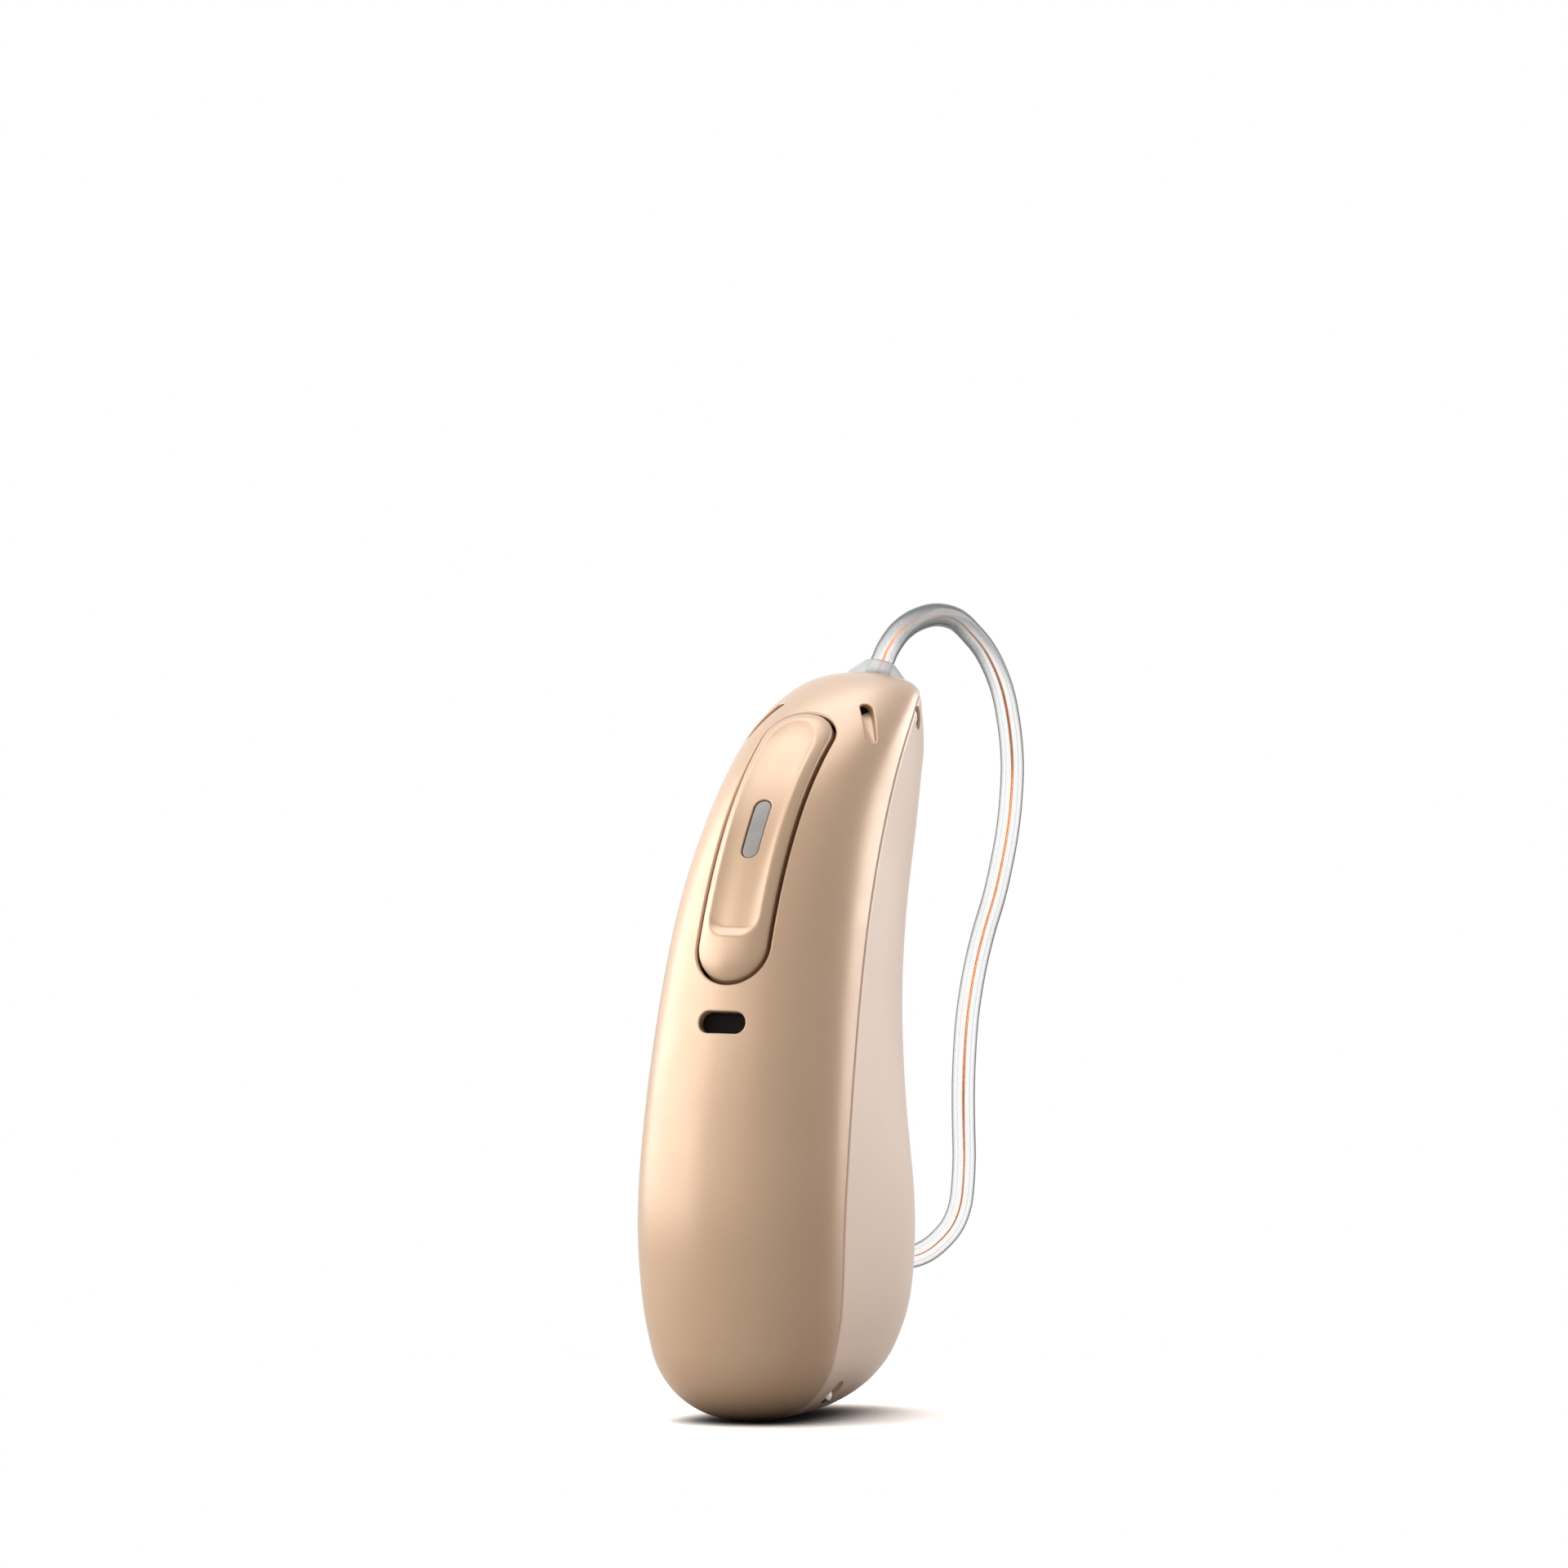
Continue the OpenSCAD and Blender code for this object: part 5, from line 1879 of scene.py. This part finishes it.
@dataclass(frozen=True)
class Wound(Finish):
    """A coil of fine varnished wire."""

    colour: Triple = (0.55, 0.2, 0.07)
    pitch_mm: float = 0.12

    def shader(self, g: Graph) -> Socket:
        """Builds the winding.

        Args:
            g: The graph.

        Returns:
            The shader.
        """
        # Painted shade: the winding's colour darkens to three tenths in the grooves between its turns.
        turns = g.waves("Z", self.pitch_mm, 0.4)
        return g.principled(
            Base_Color=turns.ramp(0.2, 0.8).blend(darker(self.colour, 0.3), self.colour),
            Metallic=0.8,
            Roughness=turns.ramp(0, 1, 0.45, 0.28),
            Normal=g.bump(turns, 0.03, 0.8),
        )


@dataclass(frozen=True)
class Lamp(Finish):
    """A light source's pale phosphor under resin."""

    colour: Triple = (0.8, 0.75, 0.45)
    pale: Triple = (0.9, 0.88, 0.7)

    def shader(self, g: Graph) -> Socket:
        """Builds the phosphor.

        Args:
            g: The graph.

        Returns:
            The shader.
        """
        speckle = g.noise(0.05).ramp(0.35, 0.65)
        return g.principled(
            Base_Color=speckle.blend(self.colour, self.pale),
            Roughness=0.3,
            Coat_Weight=0.8,
            Normal=g.bump(speckle, 0.004, 0.4),
        )


class Finishes:
    """Every finish of the hearing aid, each made once."""

    def __init__(self) -> None:
        """Makes the materials."""
        deep = (0.55, 0.355, 0.22)
        self.cover = PearlLacquer("cover_pearl", (0.60, 0.395, 0.25), deep).make()
        self.button = PearlLacquer("button_pearl", (0.59, 0.39, 0.245), deep).make()
        self.side = PearlLacquer(
            "side_pearl", (0.86, 0.62, 0.48), (0.82, 0.58, 0.44), metallic=0.05, roughness=0.42
        ).make()
        self.steel = Metal("turned_steel", (0.62, 0.64, 0.66), 0.24).make()
        self.receiver = Metal("drawn_receiver_metal", (0.66, 0.67, 0.68), 0.3).make()
        self.gold = Metal("contact_gold", (0.85, 0.58, 0.22), 0.2).make()
        self.copper = Metal("enamelled_copper", (0.72, 0.36, 0.2), 0.35).make()
        self.rubber = Moulded("seal_rubber", (0.03, 0.029, 0.028), 0.62, depth_mm=0.006).make()
        self.black = Moulded("black_glass_filled", (0.03, 0.031, 0.034), 0.5).make()
        self.chip = Moulded("chip_resin", (0.018, 0.019, 0.022), 0.42, 0.04).make()
        self.foam = Moulded("closed_cell_foam", (0.1, 0.105, 0.11), 0.9, 0.2, 0.05).make()
        self.ferrite = Moulded("sintered_ferrite", (0.05, 0.05, 0.056), 0.45, 0.1, 0.01).make()
        self.white = Moulded("white_moulded", (0.85, 0.85, 0.83), 0.4, scatter=0.2).make()
        self.window = Moulded("grey_window", (0.40, 0.375, 0.355), 0.3, depth_mm=0.001).make()
        self.silicone = SoftClear("soft_silicone", (0.93, 0.94, 0.95), 0.45, 0.35, 1.41, 0.2).make()
        # The clear walls' edge colours are painted shade and reflection of the darker surround at their
        # grazing edges; the tube's is the darkest.
        self.plug = ClearWall(
            "milky_plug", (0.84, 0.85, 0.86), (0.6, 0.61, 0.63), (0.38, 0.8), 0.15
        ).make()
        self.tube = ClearWall(
            "clear_tube_polymer", (0.88, 0.89, 0.9), (0.09, 0.09, 0.095), (0.03, 0.92), 0.05,
            (0.24, 0.8),
        ).make()
        self.bore = ClearWall(
            "clear_tube_bore", (0.92, 0.93, 0.94), (0.6, 0.61, 0.62), (0.02, 0.4), 0.05
        ).make()
        self.mesh = Woven("inlet_weave", (0.012, 0.01, 0.009)).make()
        self.board = Laminate("board_laminate").make()
        self.coil = Wound("coil_winding").make()
        self.lamp = Lamp("lamp_phosphor").make()

    def dress_frame(self) -> None:
        """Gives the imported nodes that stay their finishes."""
        chosen = {
            self.rubber: ("seam_seals", "microphone_gaskets"),
            self.steel: ("rocker_pins", "switch_domes", "battery_tabs", "battery_cell"),
            self.black: ("switch_bodies", "chassis", "plug_socket"),
            self.board: ("switch_board", "main_board"),
            self.chip: ("sound_processor", "radio_chip", "power_chip"),
            self.lamp: ("status_led",),
            self.receiver: ("front_microphone", "rear_microphone", "receiver_driver"),
            self.copper: ("antenna",),
            self.coil: ("charging_coil",),
            self.ferrite: ("ferrite_sheet",),
            self.foam: ("battery_pad",),
            self.gold: ("plug_contacts",),
        }
        for material, names in chosen.items():
            for name in names:
                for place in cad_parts[name].material_slots:
                    place.material = material


@dataclass(frozen=True)
class SoftLight:
    """A soft area light that faces the object.

    Its place is in metres along the picture's right, forward and up, and its size in metres too.
    """

    name: str
    place: Triple
    size: Pair
    watts: float
    colour: Triple


@dataclass
class Studio:
    """The pale floor, the soft lights, the white surround and the photograph's camera."""

    azimuth: float = 25.0
    elevation: float = 4.0
    distance_mm: float = 2000.0
    pixels: float = 1920.0
    pixels_per_mm: float = 29.5
    # The pixel that the frame's origin falls on
    origin_pixel: Pair = (919.9, 1738.0)
    sensor_mm: float = 36.0
    # The camera's near and far limits, in metres
    clip: Pair = (0.1, 20.0)
    forward_shift_mm: float = 3.5
    floor_half_m: float = 1.5
    # The floor shows its shadow in full to the first distance and none of it past the second
    shadow_mm: Pair = (14.0, 34.0)
    # How strongly the floor shows its light to the camera, and to the object
    floor_gain: float = 1.9
    floor_bounce: float = 0.62
    # Within what distance the object closes the floor off, where its colour is darkened as a painted
    # contact shadow, from which open share to which, and how dark that painted shadow gets
    painted_shadow_mm: float = 9.0
    painted_shadow_span: Pair = (0.1, 0.8)
    painted_shadow_dark: float = 0.04
    world_strength: float = 0.22
    # What the lights face
    aim_mm: Triple = (0.0, 6.0, 15.0)
    lights: tuple[SoftLight, ...] = (
        SoftLight("key_left", (-0.52, 0.05, 0.12), (0.8, 0.6), 4.5, (1.0, 0.99, 0.96)),
        SoftLight("front_left", (-0.42, -0.5, 0.3), (0.4, 0.4), 0.5, (1.0, 0.98, 0.96)),
        SoftLight("top", (-0.08, 0.12, 0.55), (0.5, 0.5), 2.0, (1.0, 0.99, 0.97)),
        SoftLight("rim_right", (0.5, 0.32, 0.06), (0.5, 0.5), 2.5, (1.0, 0.98, 0.96)),
    )

    def axes(self) -> tuple[Points, Points, Points]:
        """Works out how the picture lies in the frame.

        Returns:
            The picture's right, forward and up directions.
        """
        a, e = math.radians(self.azimuth), math.radians(self.elevation)
        right = np.array([math.cos(a), math.sin(a), 0])
        forward = np.array([-math.sin(a) * math.cos(e), math.cos(a) * math.cos(e), -math.sin(e)])
        return right, forward, np.cross(right, forward)

    def build_camera(self) -> None:
        """Places the camera so that the origin falls on its pixel."""
        right, forward, up = self.axes()
        half = self.pixels / 2
        aim = right * (half - self.origin_pixel[0]) / self.pixels_per_mm
        aim = aim + up * (self.origin_pixel[1] - half) / self.pixels_per_mm
        aim = aim + forward * self.forward_shift_mm
        data = bpy.data.cameras.new("photo_camera")
        data.sensor_width = self.sensor_mm
        data.lens = self.sensor_mm * self.distance_mm * self.pixels_per_mm / self.pixels
        data.clip_start, data.clip_end = self.clip
        obj = bpy.data.objects.new("photo_camera", data)
        turn = Matrix(np.column_stack([right, up, -forward]).tolist()).to_4x4()
        obj.matrix_world = Matrix.Translation(Vector((aim - forward * self.distance_mm) * MM)) @ turn
        bpy.context.scene.collection.objects.link(obj)
        bpy.context.scene.camera = obj

    def floor_paint(self) -> bpy.types.Material:
        """Makes the floor's paint, which is white where no shadow falls and darkened near the object by
        a painted contact shadow.

        Returns:
            The material.
        """
        g = Graph(bpy.data.materials.new("studio_floor_paint"))
        grain = g.noise(2.0).ramp(*NOISE_SPAN)
        camera = g.ray("Is Camera Ray")
        gain = camera * self.floor_gain + (1 - camera) * self.floor_bounce
        nearness = {"Color": WHITE, "Distance": self.painted_shadow_mm * MM}
        # Painted contact shadow: the floor's colour darkens where the ambient occlusion finds the
        # object close.
        open_share = g.add("ShaderNodeAmbientOcclusion", {"samples": 16}, nearness, "AO")
        contact = open_share.ramp(*self.painted_shadow_span, self.painted_shadow_dark, 1.0)
        white = grain.blend(WHITE, darker(WHITE, 0.98))
        paint = g.add("ShaderNodeBsdfDiffuse", {}, {"Color": white * (gain * contact)})
        glow = g.add("ShaderNodeEmission", {}, {"Color": WHITE, "Strength": 1.0})
        away = g.add("ShaderNodeVectorMath", {"operation": "LENGTH"}, {0: g.place()}, "Value")
        share = away.ramp(self.shadow_mm[0] * MM, self.shadow_mm[1] * MM)
        mixed = g.add("ShaderNodeMixShader", {}, {0: camera * share, 1: paint, 2: glow})
        return g.end("ShaderNodeOutputMaterial", mixed)

    def build_floor(self) -> None:
        """Builds the floor."""
        data = bpy.data.meshes.new("studio_floor")
        half = self.floor_half_m
        data.from_pydata(
            [(x * half, y * half, 0) for x, y in ((-1, -1), (1, -1), (1, 1), (-1, 1))],
            [], [(0, 1, 2, 3)],
        )
        data.materials.append(self.floor_paint())
        obj = bpy.data.objects.new("studio_floor", data)
        bpy.context.scene.collection.objects.link(obj)

    def build_world(self) -> None:
        """Sets the white surround that is seen and mirrored, and the softer one that lights."""
        world = bpy.data.worlds.new("studio_world")
        bpy.context.scene.world = world
        g = Graph(world)
        seen = g.ray("Is Camera Ray")
        for kind in ("Is Glossy Ray", "Is Transmission Ray"):
            seen = seen.larger(g.ray(kind))
        soft, white = (
            g.add("ShaderNodeBackground", {}, {"Color": WHITE, "Strength": strength})
            for strength in (self.world_strength, 1.0)
        )
        mixed = g.add("ShaderNodeMixShader", {}, {0: seen, 1: soft, 2: white})
        g.end("ShaderNodeOutputWorld", mixed)

    def build_light(self, light: SoftLight) -> None:
        """Adds a light.

        Args:
            light: Its place, size, power and colour.
        """
        middle = np.array(self.aim_mm) * MM
        at = middle + sum(axis * reach for axis, reach in zip(self.axes(), light.place))
        data = bpy.data.lights.new(light.name, "AREA")
        data.shape = "RECTANGLE"
        data.size, data.size_y = light.size
        data.energy = light.watts
        data.color = light.colour
        obj = bpy.data.objects.new(light.name, data)
        aim = Vector(middle - at).to_track_quat("-Z", "Y")
        obj.matrix_world = Matrix.Translation(Vector(at)) @ aim.to_matrix().to_4x4()
        bpy.context.scene.collection.objects.link(obj)

    def build(self) -> None:
        """Builds the whole studio."""
        self.build_camera()
        self.build_floor()
        self.build_world()
        for light in self.lights:
            self.build_light(light)
        bpy.context.scene.view_settings.view_transform = "Standard"


def main() -> None:
    """Builds the studio and every sub-assembly in order."""
    logging.basicConfig(level=logging.INFO, format="%(message)s")
    Studio().build()
    finishes = Finishes()
    button, cable, housing, receiver = Button(), Cable(), Housing(), Receiver()
    housing.build(finishes, button, cable)
    button.build(finishes)
    cable.build(finishes, housing)
    receiver.build(finishes, cable)
    finishes.dress_frame()


if __name__ == "__main__":
    main()
